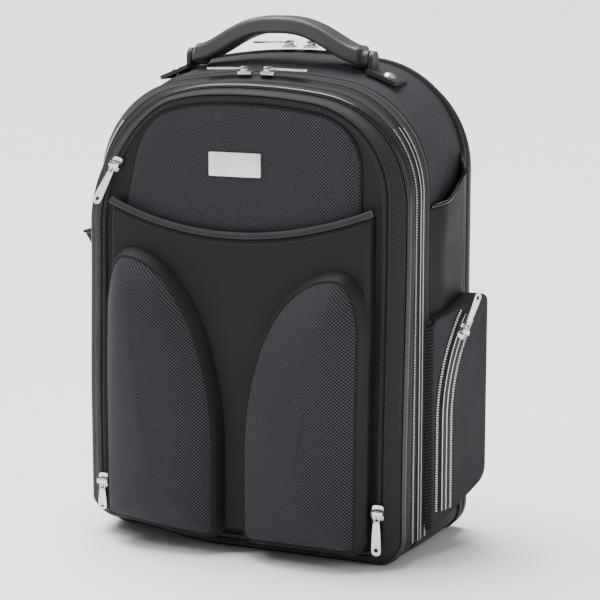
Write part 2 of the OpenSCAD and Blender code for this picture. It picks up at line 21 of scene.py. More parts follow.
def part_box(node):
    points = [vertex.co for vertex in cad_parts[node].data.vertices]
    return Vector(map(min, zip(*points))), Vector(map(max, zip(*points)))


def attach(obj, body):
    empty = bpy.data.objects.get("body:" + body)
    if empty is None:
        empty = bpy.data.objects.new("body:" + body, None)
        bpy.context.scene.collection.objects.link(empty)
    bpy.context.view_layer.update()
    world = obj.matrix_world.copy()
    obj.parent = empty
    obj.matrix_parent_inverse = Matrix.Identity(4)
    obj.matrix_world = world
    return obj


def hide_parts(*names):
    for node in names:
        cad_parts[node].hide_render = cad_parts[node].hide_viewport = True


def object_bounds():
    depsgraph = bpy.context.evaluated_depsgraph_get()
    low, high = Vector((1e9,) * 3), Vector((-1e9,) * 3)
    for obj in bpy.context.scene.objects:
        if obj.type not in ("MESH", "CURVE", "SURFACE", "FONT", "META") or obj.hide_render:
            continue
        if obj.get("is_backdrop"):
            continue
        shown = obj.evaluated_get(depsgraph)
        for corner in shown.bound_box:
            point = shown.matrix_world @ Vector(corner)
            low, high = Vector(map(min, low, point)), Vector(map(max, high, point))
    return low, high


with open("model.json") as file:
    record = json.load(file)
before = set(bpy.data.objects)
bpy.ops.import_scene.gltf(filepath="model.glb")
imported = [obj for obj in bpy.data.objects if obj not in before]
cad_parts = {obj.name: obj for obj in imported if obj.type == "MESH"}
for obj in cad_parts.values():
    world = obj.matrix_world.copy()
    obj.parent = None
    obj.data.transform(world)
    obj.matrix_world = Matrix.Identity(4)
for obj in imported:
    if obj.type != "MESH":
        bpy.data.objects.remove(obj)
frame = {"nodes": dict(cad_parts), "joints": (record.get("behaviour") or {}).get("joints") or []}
CAD_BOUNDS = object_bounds()

LOG = logging.getLogger("flight_bag")
MM = 0.001
Point2 = tuple[float, float]


# ---------------------------------------------------------------- materials


def srgb(code: str) -> tuple[float, float, float, float]:
    """Turn an sRGB hex colour into linear red, green, blue and alpha.

    Args:
        code: A colour such as "#3a3b3f".

    Returns:
        The linear colour.
    """
    parts = [int(code[i:i + 2], 16) / 255 for i in (1, 3, 5)]
    linear = [c / 12.92 if c <= 0.04045 else ((c + 0.055) / 1.055) ** 2.4 for c in parts]
    return (linear[0], linear[1], linear[2], 1.0)


def add_node(tree: bpy.types.NodeTree, kind: str, settings: dict | None = None,
             **inputs: object) -> bpy.types.Node:
    """Add a node, set its properties and fill or link its inputs.

    Args:
        tree: The node tree that gets the node.
        kind: The node's type, without its "ShaderNode" prefix.
        settings: Properties of the node itself, such as an operation.
        **inputs: Values or output sockets by input name; spaces are written as
            underscores, and in0, in1 and so on go by number.

    Returns:
        The new node.
    """
    node = tree.nodes.new("ShaderNode" + kind)
    for key, value in (settings or {}).items():
        setattr(node, key, value)
    for key, value in inputs.items():
        number = key[2:]
        place = int(number) if key.startswith("in") and number.isdigit() else key.replace("_", " ")
        socket = node.inputs[place]
        if isinstance(value, bpy.types.NodeSocket):
            tree.links.new(value, socket)
        else:
            socket.default_value = value
    return node


def new_material(name: str) -> tuple[bpy.types.Material, bpy.types.NodeTree]:
    """Start a material that has only its output node.

    Args:
        name: The finish's name.

    Returns:
        The material and its node tree.
    """
    material = bpy.data.materials.new(name)
    material.use_nodes = True
    material.node_tree.nodes.clear()
    return material, material.node_tree


class Weave(Enum):
    """How a cloth's threads cross."""

    BALLISTIC = "ballistic"
    PLAIN = "plain"
    RIBBED = "ribbed"
    MESH = "mesh"


@dataclass(frozen=True)
class Cloth:
    """A woven synthetic cloth, matt and slightly fuzzy, with soft folds.

    Attributes:
        name: Name of the finish.
        thread: Colour of a thread's crown: a painted highlight.
        gap: Colour between the threads: painted shade.
        pitch: Thread spacing in millimetres.
        weave: How the threads cross.
        relief: Height of the threads in millimetres.
        fold: Height of the soft folds in millimetres.
        rough: Roughness of the cloth.
        sheen: Strength of the fuzz that catches grazing light.
    """

    name: str
    thread: str
    gap: str
    pitch: float
    weave: Weave
    relief: float = 0.25
    fold: float = 0.8
    rough: float = 0.72
    sheen: float = 0.25

    def threads(self, tree: bpy.types.NodeTree) -> bpy.types.NodeSocket:
        """Make the height of the weave, from 0 in the gaps to 1 on the crowns.

        Args:
            tree: The material's node tree.

        Returns:
            The socket that carries the height.
        """
        turn = math.radians(45) if self.weave is Weave.PLAIN else 0.0
        scale = 2 * math.pi / (self.pitch * MM)
        place = add_node(tree, "UVMap", {"uv_map": "Cloth"})
        mapped = add_node(tree, "Mapping", Vector=place.outputs[0], Rotation=(0, 0, turn),
                          Scale=(scale, scale, 1.0))
        split = add_node(tree, "SeparateXYZ", in0=mapped.outputs[0])
        across = add_node(tree, "Math", {"operation": "SINE"}, in0=split.outputs[0])
        if self.weave is Weave.RIBBED:
            wave = across
        else:
            along = add_node(tree, "Math", {"operation": "SINE"}, in0=split.outputs[1])
            wave = add_node(tree, "Math", {"operation": "MULTIPLY"}, in0=across.outputs[0],
                            in1=along.outputs[0])
        if self.weave is Weave.MESH:
            wave = add_node(tree, "Math", {"operation": "ABSOLUTE"}, in0=wave.outputs[0])
        low = {Weave.MESH: 0.0, Weave.BALLISTIC: -0.35}.get(self.weave, -1.0)
        return add_node(tree, "MapRange", Value=wave.outputs[0], in1=low, in2=1.0).outputs[0]

    def material(self) -> bpy.types.Material:
        """Build the cloth's material.

        Returns:
            The finished material.
        """
        material, tree = new_material(self.name)
        height = self.threads(tree)
        place = add_node(tree, "TexCoord").outputs["Object"]
        # Broad noise that lightens and darkens the colour in patches, partly dust and partly a painted sheen; it also
        # varies the roughness.
        dust_and_sheen = add_node(tree, "TexNoise", Vector=place, Scale=14.0, Detail=4.0, Roughness=0.6)
        folds = add_node(tree, "TexNoise", Vector=place, Scale=34.0, Detail=3.0, Roughness=0.5)
        # Mixed by the weave's height: painted shade in the gaps between threads and a painted highlight on their
        # crowns.
        colour = add_node(tree, "Mix", {"data_type": "RGBA"}, Factor=height)
        colour.inputs[6].default_value = srgb(self.gap)
        colour.inputs[7].default_value = srgb(self.thread)
        tone = add_node(tree, "MapRange", Value=dust_and_sheen.outputs["Fac"], in1=0.3, in2=0.7, in3=0.86, in4=1.14)
        shaded = add_node(tree, "VectorMath", {"operation": "SCALE"}, in0=colour.outputs[2],
                          Scale=tone.outputs[0])
        soft = add_node(tree, "Bump", Height=folds.outputs["Fac"], Distance=self.fold * MM * 2, Strength=0.6)
        bump = add_node(tree, "Bump", Height=height, Distance=self.relief * MM, Strength=0.9,
                        Normal=soft.outputs[0])
        rough = add_node(tree, "MapRange", Value=dust_and_sheen.outputs["Fac"], in1=0.3, in2=0.7,
                         in3=self.rough - 0.06, in4=self.rough + 0.08)
        shader = add_node(tree, "BsdfPrincipled", Base_Color=shaded.outputs[0], Roughness=rough.outputs[0],
                          Normal=bump.outputs[0], Sheen_Weight=self.sheen, Sheen_Roughness=0.5,
                          Specular_IOR_Level=0.2)
        add_node(tree, "OutputMaterial", Surface=shader.outputs[0])
        return material


@dataclass(frozen=True)
class Solid:
    """A hard or rubbery finish with grain in its gloss and a fine relief.

    Attributes:
        name: Name of the finish.
        colour: Its colour.
        rough: Middle roughness.
        metal: 1 for metals, 0 for the rest.
        grain: Size of its grain in millimetres.
        relief: Height of the grain in millimetres.
        spread: How far the roughness varies.
    """

    name: str
    colour: str
    rough: float
    metal: float = 0.0
    grain: float = 0.6
    relief: float = 0.03
    spread: float = 0.08

    def material(self) -> bpy.types.Material:
        """Build the finish's material.

        Returns:
            The finished material.
        """
        material, tree = new_material(self.name)
        place = add_node(tree, "TexCoord").outputs["Object"]
        fine = add_node(tree, "TexNoise", Vector=place, Scale=1 / (self.grain * MM), Detail=3.0)
        wide = add_node(tree, "TexNoise", Vector=place, Scale=60.0, Detail=4.0)
        tone = add_node(tree, "MapRange", Value=wide.outputs["Fac"], in1=0.3, in2=0.7, in3=0.9, in4=1.08)
        base = add_node(tree, "RGB")
        base.outputs[0].default_value = srgb(self.colour)
        shade = add_node(tree, "VectorMath", {"operation": "SCALE"}, in0=base.outputs[0],
                         Scale=tone.outputs[0])
        rough = add_node(tree, "MapRange", Value=wide.outputs["Fac"], in1=0.3, in2=0.7,
                         in3=max(0.05, self.rough - self.spread), in4=self.rough + self.spread)
        bump = add_node(tree, "Bump", Height=fine.outputs["Fac"], Distance=self.relief * MM, Strength=0.8)
        shader = add_node(tree, "BsdfPrincipled", Base_Color=shade.outputs[0], Roughness=rough.outputs[0],
                          Normal=bump.outputs[0], Metallic=self.metal)
        add_node(tree, "OutputMaterial", Surface=shader.outputs[0])
        return material


# The lids and upper panel are a coarse ballistic polyester: slate black, with a
# diagonal dot where the threads cross. Its pitch is drawn coarse enough to show.
# Its dots are painted light: a painted highlight on the thread crowns over painted shade in the gaps.
BALLISTIC = Cloth("ballistic_polyester", "#45484e", "#070708", 3.0, Weave.BALLISTIC, relief=0.45, sheen=0.03)
# Smooth nylon packcloth: a fine plain weave that reads as plain black with a soft sheen.
NYLON = Cloth("nylon_packcloth", "#19191b", "#0f0f11", 1.3, Weave.PLAIN, relief=0.1, rough=0.55, sheen=0.01)
# The border is the same nylon cut across its rib.
RIB_NYLON = Cloth("ribbed_nylon", "#25272a", "#0c0d0f", 1.9, Weave.RIBBED, relief=0.25, rough=0.6, sheen=0.02)
LINING = Cloth("lining_polyester", "#3a3c40", "#26282b", 1.0, Weave.PLAIN, relief=0.08)
AIR_MESH = Cloth("air_mesh", "#26272a", "#060607", 3.2, Weave.MESH, relief=0.8, rough=0.85)
WEBBING = Cloth("polyester_webbing", "#222225", "#0e0e10", 1.8, Weave.RIBBED, relief=0.35, fold=0.2)
TAPE = Cloth("zip_tape", "#141416", "#09090a", 1.0, Weave.RIBBED, relief=0.1, fold=0.2, sheen=0.1)
# Extruded PVC piping: smooth and shiny black.
PIPING = Solid("pvc_piping", "#0f0f11", 0.26, grain=1.2, relief=0.02)
BINDING = Cloth("grosgrain_binding", "#2c2e31", "#17181a", 1.2, Weave.RIBBED, relief=0.15, fold=0.3)
GRIP = Solid("moulded_rubber", "#353132", 0.5, grain=0.5, relief=0.06)
CHAPE = Solid("tab_rubber", "#19181a", 0.5, grain=0.6, relief=0.08)
BUCKLE = Solid("acetal_buckle", "#111113", 0.38, grain=0.4, relief=0.03)
BOARD = Solid("polypropylene_board", "#2a2a2c", 0.6)
NICKEL = Solid("nickel_plate", "#d6d5d2", 0.24, metal=1.0, grain=0.8, relief=0.01)
RIVET = Solid("satin_steel", "#cfccc6", 0.3, metal=1.0, grain=0.8, relief=0.01)
PLATE = Solid("brushed_aluminium", "#dcdedc", 0.45, metal=0.5, grain=0.3, relief=0.02)
SILVER_THREAD = Solid("silver_thread", "#c9c9c8", 0.42, metal=0.35, grain=0.3, relief=0.03)
COIL = Solid("nylon_coil", "#26282a", 0.4, grain=0.3, relief=0.02)
THREAD = Solid("sewing_thread", "#1c1d1f", 0.6, grain=0.2, relief=0.03)


class Finishes:
    """Makes each finish's material once and hands it out by finish."""

    def __init__(self) -> None:
        """Start with no materials made."""
        self.made: dict[str, bpy.types.Material] = {}

    def get(self, finish: Cloth | Solid) -> bpy.types.Material:
        """Return the finish's material, made on first use.

        Args:
            finish: The finish wanted.

        Returns:
            Its material.
        """
        if finish.name not in self.made:
            self.made[finish.name] = finish.material()
        return self.made[finish.name]


FINISHES = Finishes()


# ----------------------------------------------------------------- outlines


def arc(centre: Point2, radius: float, start: float, end: float, steps: int) -> list[Point2]:
    """Points along an arc, ends included.

    Args:
        centre: The arc's centre.
        radius: Its radius.
        start: First angle in degrees.
        end: Last angle in degrees.
        steps: Number of stretches between the points.

    Returns:
        The points in order.
    """
    angles = [math.radians(start + (end - start) * i / steps) for i in range(steps + 1)]
    return [(centre[0] + radius * math.cos(a), centre[1] + radius * math.sin(a)) for a in angles]


def resample(points: Sequence[Point2], count: int, closed: bool) -> list[Point2]:
    """Spread points evenly along a line.

    Args:
        points: The line's corners.
        count: How many points to return.
        closed: Whether the line runs back to its start.

    Returns:
        Evenly spaced points; a closed line's start isn't repeated.
    """
    line = list(points) + ([points[0]] if closed else [])
    lengths = [0.0]
    for a, b in zip(line, line[1:]):
        lengths.append(lengths[-1] + math.dist(a, b))
    stretches = count if closed else count - 1
    result = []
    k = 0
    for i in range(count):
        goal = lengths[-1] * i / stretches
        while k < len(line) - 2 and lengths[k + 1] < goal:
            k += 1
        span = lengths[k + 1] - lengths[k]
        t = (goal - lengths[k]) / span if span else 0.0
        result.append((line[k][0] + (line[k + 1][0] - line[k][0]) * t,
                       line[k][1] + (line[k + 1][1] - line[k][1]) * t))
    return result


@dataclass(frozen=True)
class Outline:
    """A flat-footed outline with rounded shoulders and a crowned top.

    Attributes:
        width: Full width.
        height: Height of the crown above the floor.
        corner: Radius of the shoulders.
        crown: Radius of the crown.
        foot: Radius of the lower corners.
        base: Height of the flat foot.
    """

    width: float
    height: float
    corner: float
    crown: float
    foot: float
    base: float

    def grown(self, by: float) -> "Outline":
        """The same outline moved outwards by a distance all round."""
        return Outline(self.width + 2 * by, self.height + by, self.corner + by, self.crown + by,
                       max(1.0, self.foot + by), self.base - by)

    def shoulder(self) -> tuple[Point2, float]:
        """Find the right shoulder.

        Returns:
            The shoulder arc's centre, and the angle at which the crown takes over.
        """
        x = self.width / 2 - self.corner
        rise = math.sqrt((self.crown - self.corner) ** 2 - x * x)
        return (x, self.height - self.crown + rise), math.degrees(math.atan2(rise, x))

    def arch(self, foot_z: float) -> list[Point2]:
        """The line from the right side at foot_z, over the top, to the left side.

        Args:
            foot_z: Height of its two ends.

        Returns:
            The line's points.
        """
        centre, angle = self.shoulder()
        right = arc(centre, self.corner, 0, angle, 24)
        top = arc((0, self.height - self.crown), self.crown, angle, 180 - angle, 24)
        left = [(-x, z) for x, z in reversed(right)]
        return [(self.width / 2, foot_z)] + right + top[1:-1] + left + [(-self.width / 2, foot_z)]

    def ring(self, count: int) -> list[Point2]:
        """Evenly spaced points round the whole outline, from the middle of the foot.

        Args:
            count: How many points.

        Returns:
            The points, anticlockwise seen from the front.
        """
        right = arc((self.width / 2 - self.foot, self.base + self.foot), self.foot, -90, 0, 10)
        left = [(-x, z) for x, z in reversed(right)]
        line = [(0.0, self.base)] + right + self.arch(self.base + self.foot)[1:-1] + left
        return resample(line, count, True)


def smooth(edge0: float, edge1: float, value: float) -> float:
    """Ease from 0 to 1 as value runs from edge0 to edge1."""
    t = min(1.0, max(0.0, (value - edge0) / (edge1 - edge0)))
    return t * t * (3 - 2 * t)


def lerp(a: float, b: float, t: float) -> float:
    """Mix two numbers."""
    return a + (b - a) * t


def table(value: float, rows: Sequence[Point2]) -> float:
    """Read a value from a short table of straight stretches."""
    if value <= rows[0][0]:
        return rows[0][1]
    for (x0, y0), (x1, y1) in zip(rows, rows[1:]):
        if value <= x1:
            return y0 + (y1 - y0) * (value - x0) / (x1 - x0)
    return rows[-1][1]


@dataclass(frozen=True)
class BagShape:
    """The bag's driving sizes and its outline at each depth.

    Attributes:
        front_w: Width at the front piping.
        front_h: Height at the front piping.
        rear_w: Width at the back.
        rear_h: Height at the rear zip.
        front_y: Depth of the front gusset's front edge.
        zip_front_y: Front edge of the main zip.
        zip_y: The main zip's middle.
        zip_rear_y: Rear edge of the main zip.
        gusset_end_y: Rear edge of the main gusset.
        rear_zip_y: The rear zip's middle.
        rear_gusset_y: Front edge of the rear gusset.
        back_y: Depth of the back panel.
        panel_y: Front of the organiser's panel.
    """

    front_w: float
    front_h: float
    rear_w: float
    rear_h: float
    front_y: float
    zip_front_y: float
    zip_y: float
    zip_rear_y: float
    gusset_end_y: float
    rear_zip_y: float
    rear_gusset_y: float
    back_y: float
    panel_y: float
    corner: float = 94.0
    crown: float = 490.0
    foot: float = 24.0
    floor_z: float = 2.0
    zip_foot_z: float = 18.0

    @classmethod
    def from_frame(cls) -> "BagShape":
        """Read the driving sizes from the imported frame.

        Returns:
            The bag's shape.
        """
        def low(node: str, axis: int) -> float:
            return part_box(node)[0][axis] / MM

        def high(node: str, axis: int) -> float:
            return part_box(node)[1][axis] / MM

        gap = 0.2
        rear_w = high("rear_gusset", 0) * 2
        back_y = high("rear_gusset", 1)
        front_y = low("front_gusset", 1)
        gusset_end = high("main_gusset", 1)
        slope = (high("rear_gusset", 0) - high("main_gusset", 0)) / (back_y - gusset_end)
        return cls(front_w=rear_w - 2 * slope * (back_y - front_y), front_h=high("front_piping", 2) - 1.5,
                   rear_w=rear_w, rear_h=high("rear_zip_front_half", 2) - 1.2,
                   front_y=front_y, zip_front_y=low("main_zip_front_half", 1) - gap,
                   zip_y=high("main_zip_front_half", 1) + gap, zip_rear_y=high("main_zip_rear_half", 1) + gap,
                   gusset_end_y=gusset_end, rear_zip_y=high("rear_zip_front_half", 1) + gap,
                   rear_gusset_y=low("rear_gusset", 1), back_y=back_y, panel_y=low("organizer_panel", 1))

    def width(self, y: float) -> float:
        """Width of the bag at a depth."""
        return table(y, [(self.front_y, self.front_w), (self.back_y, self.rear_w)])

    def height(self, y: float) -> float:
        """Height of the bag at a depth."""
        return table(y, [(self.front_y, self.front_h), (self.rear_zip_y, self.rear_h),
                         (self.back_y, self.rear_h - 5)])

    def outline(self, y: float, grow: float = 0.0) -> Outline:
        """The bag's outline at a depth, grown by a distance."""
        return Outline(self.width(y), self.height(y), self.corner, self.crown, self.foot,
                       self.floor_z).grown(grow)

    def organizer(self, grow: float = 0.0) -> Outline:
        """The organiser panel's outline, grown by a distance."""
        return Outline(self.front_w - 32, self.front_h - 8, self.corner - 12, self.crown - 8, 14.0,
                       11.0).grown(grow)

    def side(self, y: float) -> float:
        """Half the bag's width at a depth."""
        return self.width(y) / 2


# ------------------------------------------------------------------- meshes


Rows = Sequence[Sequence[Vector]]


def lay_sheet(bm: bmesh.types.BMesh, rows: Rows, closed: bool = False, joined: bool = False) -> None:
    """Lay a grid over rows of points, with a cloth map in metres.

    Args:
        bm: The mesh that gets the sheet.
        rows: Rows of points in millimetres, all of one length.
        closed: Whether each row runs back to its start.
        joined: Whether the last row meets the first.
    """
    lines = [list(row) + ([row[0]] if closed else []) for row in rows]
    if joined:
        lines.append(lines[0])
    wide = len(lines[0])
    start = len(bm.verts)
    made = bmesh.ops.create_grid(bm, x_segments=wide - 1, y_segments=len(lines) - 1, size=1.0,
                                 calc_uvs=True)["verts"]
    middle = lines[len(lines) // 2]
    along = [0.0]
    for a, b in zip(middle, middle[1:]):
        along.append(along[-1] + (b - a).length * MM)
    column = wide // 2
    across = [0.0]
    for a, b in zip(lines, lines[1:]):
        across.append(across[-1] + (b[column] - a[column]).length * MM)
    uv = bm.loops.layers.uv.verify()
    bm.verts.index_update()
    for number, vert in enumerate(made):
        j, i = divmod(number, wide)
        vert.co = lines[j][i] * MM
    faces = {face for vert in made for face in vert.link_faces}
    for face in faces:
        for loop in face.loops:
            j, i = divmod(loop.vert.index - start, wide)
            loop[uv].uv = (along[i], across[j])
    bm.verts.ensure_lookup_table()


def cap_rows(bm: bmesh.types.BMesh, row: Sequence[Vector], flip: bool = False) -> None:
    """Close a row of points with one face, mapped flat in x and z.

    Args:
        bm: The mesh that gets the face.
        row: The points round the face, in millimetres.
        flip: Whether the face looks the other way.
    """
    uv = bm.loops.layers.uv.verify()
    verts = [bm.verts.new(p * MM) for p in (reversed(row) if flip else row)]
    face = bm.faces.new(verts)
    for loop in face.loops:
        loop[uv].uv = (loop.vert.co.x, loop.vert.co.z)


def map_flat(bm: bmesh.types.BMesh, normal_axis: int = 1) -> None:
    """Map the cloth straight through the mesh along one axis.

    Args:
        bm: The mesh to map.
        normal_axis: 0, 1 or 2: the axis that the cloth faces.
    """
    uv = bm.loops.layers.uv.verify()
    u, v = [axis for axis in range(3) if axis != normal_axis]
    for face in bm.faces:
        for loop in face.loops:
            loop[uv].uv = (loop.vert.co[u], loop.vert.co[v])


SOFT_FRONT = ("front_section", "organizer", "headset_flap_left", "headset_flap_right")


def settle(place: Vector) -> Vector:
    """Let the soft front sag a little: one shoulder drops in and one foot lifts.

    Args:
        place: A point in metres.

    Returns:
        The settled point.
    """
    x, y, z = place / MM
    front = smooth(-45, -72, y)
    left = smooth(-25, -138, x)
    right = smooth(40, 138, x)
    move = left * (15 * smooth(290, 370, z) + 3 * smooth(120, 290, z)) + right * 3 * smooth(60, 300, z)
    lift = left * (13 * smooth(46, 4, z) - 5 * smooth(340, 400, z))
    return place + Vector((move * front, 0, lift * front)) * MM


@dataclass
class Piece:
    """How a finished mesh joins the object.

    Attributes:
        name: The piece's name.
        body: The CAD body that it moves with.
        finish: Its finish.
        replaces: CAD nodes that it stands for.
        slot: The record's material slot; not used.
        fill: How full a padded piece is, or None where it isn't padded; not used.
        angle: Faces that meet at less than this many degrees are shaded smooth.
        levels: Subdivision levels.
    """

    name: str
    body: str
    finish: Cloth | Solid
    replaces: tuple[str, ...] = ()
    slot: str = ""
    fill: float | None = None
    angle: float = 40.0
    levels: int = 0
    wall: float = 0.0

    def finish_mesh(self, bm: bmesh.types.BMesh, merge: float = 0.02,
                    outward: bool = True) -> bpy.types.Object:
        """Turn a mesh into an object that rides on its body.

        Args:
            bm: The mesh, in metres, which is freed.
            merge: Distance in millimetres within which points are joined.
            outward: Whether to turn all faces outwards.

        Returns:
            The new object.
        """
        bmesh.ops.remove_doubles(bm, verts=bm.verts, dist=merge * MM)
        if outward:
            bmesh.ops.recalc_face_normals(bm, faces=bm.faces)
        if self.body in SOFT_FRONT or self.body.startswith("organizer_"):
            for vert in bm.verts:
                vert.co = settle(vert.co)
        mesh = bpy.data.meshes.new(self.name)
        bm.to_mesh(mesh)
        bm.free()
        if mesh.uv_layers:
            mesh.uv_layers[0].name = "Cloth"
        obj = bpy.data.objects.new(self.name, mesh)
        bpy.context.scene.collection.objects.link(obj)
        mesh.materials.append(FINISHES.get(self.finish))
        mesh.shade_smooth()
        mesh.set_sharp_from_angle(angle=math.radians(self.angle))
        if self.wall:
            solid = obj.modifiers.new("wall", "SOLIDIFY")
            solid.thickness = self.wall * MM
            solid.offset = -1.0
        if self.levels:
            soft = obj.modifiers.new("soft", "SUBSURF")
            soft.levels = self.levels
            soft.render_levels = self.levels
        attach(obj, self.body)
        if self.replaces:
            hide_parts(*self.replaces)
        LOG.info("%s: %d faces on %s", self.name, len(mesh.polygons), self.body)
        return obj


def ripple(point: Vector, size: float, height: float) -> float:
    """Soft unevenness of cloth at a point.

    Args:
        point: A place in millimetres.
        size: Size of the waves in millimetres.
        height: Their height in millimetres.

    Returns:
        The height at that place.
    """
    return noise.noise(point / size) * height


def ring_rows(shape: BagShape, depths: Sequence[Point2], count: int, wave: float = 0.0) -> list[list[Vector]]:
    """Rows of points round the bag at several depths.

    Args:
        shape: The bag's shape.
        depths: Pairs of depth and growth.
        count: Points in each row.
        wave: Height of the cloth's unevenness.

    Returns:
        One closed row for each pair.
    """
    rows = []
    for y, grow in depths:
        inner = shape.outline(y, grow).ring(count)
        row = [Vector((x, y, z)) for x, z in inner]
        if wave:
            outer = shape.outline(y, grow + 1).ring(count)
            for k, p in enumerate(row):
                out = Vector((outer[k][0], y, outer[k][1])) - p
                if p.z > 12:
                    row[k] = p + out.normalized() * (ripple(p, 42, wave) + ripple(p, 17, wave * 0.35))
        rows.append(row)
    return rows


def strip_rows(shape: BagShape, depths: Sequence[Point2], count: int, foot_z: float) -> list[list[Vector]]:
    """Rows of points over the bag, open at the foot.

    Args:
        shape: The bag's shape.
        depths: Pairs of depth and growth.
        count: Points in each row.
        foot_z: Height of the rows' ends.

    Returns:
        One open row for each pair.
    """
    return [[Vector((x, y, z)) for x, z in resample(shape.outline(y, grow).arch(foot_z), count, False)]
            for y, grow in depths]


def tube_rows(path: Sequence[Vector], outs: Sequence[Vector], side: Vector, radius: float,
              sides: int = 10) -> list[list[Vector]]:
    """Rows of points along a round cord, one row for each of its sides.

    Args:
        path: The cord's centreline.
        outs: The outward direction at each point.
        side: The direction across the cord and its outward direction.
        radius: The cord's radius.
        sides: Number of sides.

    Returns:
        The rows, to be joined last to first.
    """
    rows = []
    for s in range(sides):
        a = 2 * math.pi * s / sides
        rows.append([p + (o * math.cos(a) + side * math.sin(a)) * radius for p, o in zip(path, outs)])
    return rows


@dataclass
class Track:
    """A line on a surface, with its outward direction, that studs and stitches follow.

    Attributes:
        points: Places along the line, in millimetres.
        outs: The outward direction at each place.
    """

    points: list[Vector]
    outs: list[Vector]

    def walk(self, pitch: float) -> Iterable[tuple[Vector, Vector, Vector]]:
        """Step along the line.

        Args:
            pitch: Distance between steps in millimetres.

        Yields:
            Place, direction along the line and outward direction.
        """
        travelled = 0.0
        goal = pitch / 2
        for a, b, oa, ob in zip(self.points, self.points[1:], self.outs, self.outs[1:]):
            span = (b - a).length
            while span and goal <= travelled + span:
                t = (goal - travelled) / span
                yield a.lerp(b, t), (b - a).normalized(), oa.lerp(ob, t).normalized()
                goal += pitch
            travelled += span

    def moved(self, across: float, out: float) -> "Track":
        """The same line moved across the surface and outwards."""
        points = []
        last = len(self.points) - 1
        for k, (p, o) in enumerate(zip(self.points, self.outs)):
            along = (self.points[min(last, k + 1)] - self.points[max(0, k - 1)]).normalized()
            points.append(p + along.cross(o).normalized() * across + o * out)
        return Track(points, self.outs)

    def studs(self, bm: bmesh.types.BMesh, pitch: float, size: tuple[float, float, float]) -> None:
        """Set small blocks along the line.

        Args:
            bm: The mesh that gets them.
            pitch: Their spacing.
            size: Length along the line, width across it and height outwards.
        """
        for place, along, out in self.walk(pitch):
            across = along.cross(out).normalized()
            turn = Matrix((along, across, out)).transposed().to_4x4()
            scale = Matrix.Diagonal((size[0], size[1], size[2], 1.0))
            bmesh.ops.create_cube(bm, size=MM, matrix=Matrix.Translation(place * MM) @ turn @ scale)


def track_on_rows(row: Sequence[Vector], centre: Vector) -> Track:
    """Make a track from a row of points that looks away from a centre line.

    Args:
        row: The points.
        centre: A point inside; only x and z count.

    Returns:
        The track, with outward directions square to the row.
    """
    outs = []
    last = len(row) - 1
    for k, p in enumerate(row):
        along = (row[min(last, k + 1)] - row[max(0, k - 1)]).normalized()
        out = along.cross(Vector((0, 1, 0)))
        away = Vector((p.x - centre.x, 0, p.z - centre.z))
        outs.append((out if out.dot(away) > 0 else -out).normalized())
    return Track(list(row), outs)


def nearest(point: Point2, a: Point2, b: Point2) -> Point2:
    """The place on the line from a to b that is nearest to a point."""
    dx, dy = b[0] - a[0], b[1] - a[1]
    length = dx * dx + dy * dy
    t = ((point[0] - a[0]) * dx + (point[1] - a[1]) * dy) / length if length else 0.0
    t = min(1.0, max(0.0, t))
    return (a[0] + dx * t, a[1] + dy * t)


Place = Callable[[float, float, float], Vector]


def puff(bm: bmesh.types.BMesh, ring: Sequence[Point2], spine: tuple[Point2, Point2],
         profile: Sequence[Point2], place: Place, wave: float = 0.3) -> None:
    """Lay a crowned pad: its outline drawn in towards a spine as it rises.

    Args:
        bm: The mesh that gets the pad.
        ring: The pad's outline.
        spine: Ends of the line that the outline is drawn in to.
        profile: Pairs of how far in, from 0 to 1, and how high.
        place: Turns a flat place and a height into a point.
        wave: Height of the cloth's unevenness.
    """
    rows = []
    for inward, rise in profile:
        row = []
        for u, v in ring:
            su, sv = nearest((u, v), *spine)
            x, z = lerp(u, su, inward), lerp(v, sv, inward)
            bumpy = (ripple(Vector((x, rise, z)), 26, wave) + ripple(Vector((x, 40, z)), 60, wave * 1.6)
                     if inward > 0.02 else 0.0)
            row.append(place(x, z, rise + bumpy))
        rows.append(row)
    lay_sheet(bm, rows, closed=True)
    cap_rows(bm, rows[-1])


def crowned(edge: float, top: float, steps: int = 12, last: float = 0.97, power: float = 2.4) -> list[Point2]:
    """A pad's profile: an upright edge and then a crown.

    Args:
        edge: Height of the upright edge.
        top: Height of the crown.
        steps: Number of rings over the crown.
        last: How far in the last ring lies.
        power: How quickly the crown levels off.

    Returns:
        Pairs of how far in and how high.
    """
    rows = [(0.0, 0.0), (0.0, edge * 0.55), (0.004, edge)]
    for i in range(1, steps + 1):
        t = (i / steps) ** 1.5 * last
        rows.append((t, edge + (top - edge) * (1 - (1 - t) ** power)))
    return rows


def seam(name: str, body: str, tracks: Sequence[Track], finish: Cloth | Solid = THREAD, pitch: float = 3.4,
         size: tuple[float, float, float] = (2.5, 0.55, 0.4), slot: str = "nylon_fabric") -> None:
    """Sew a line of stitches, or set a row of studs.

    Args:
        name: The piece's name.
        body: The body that it moves with.
        tracks: Lines that the stitches follow.
        finish: Their finish.
        pitch: Their spacing.
        size: Length, width and height of one stitch.
        slot: The record's material slot, handed to the piece, which doesn't use it.
    """
    bm = bmesh.new()
    for track in tracks:
        track.studs(bm, pitch, size)
    Piece(name, body, finish, slot=slot).finish_mesh(bm, merge=0.0001, outward=False)


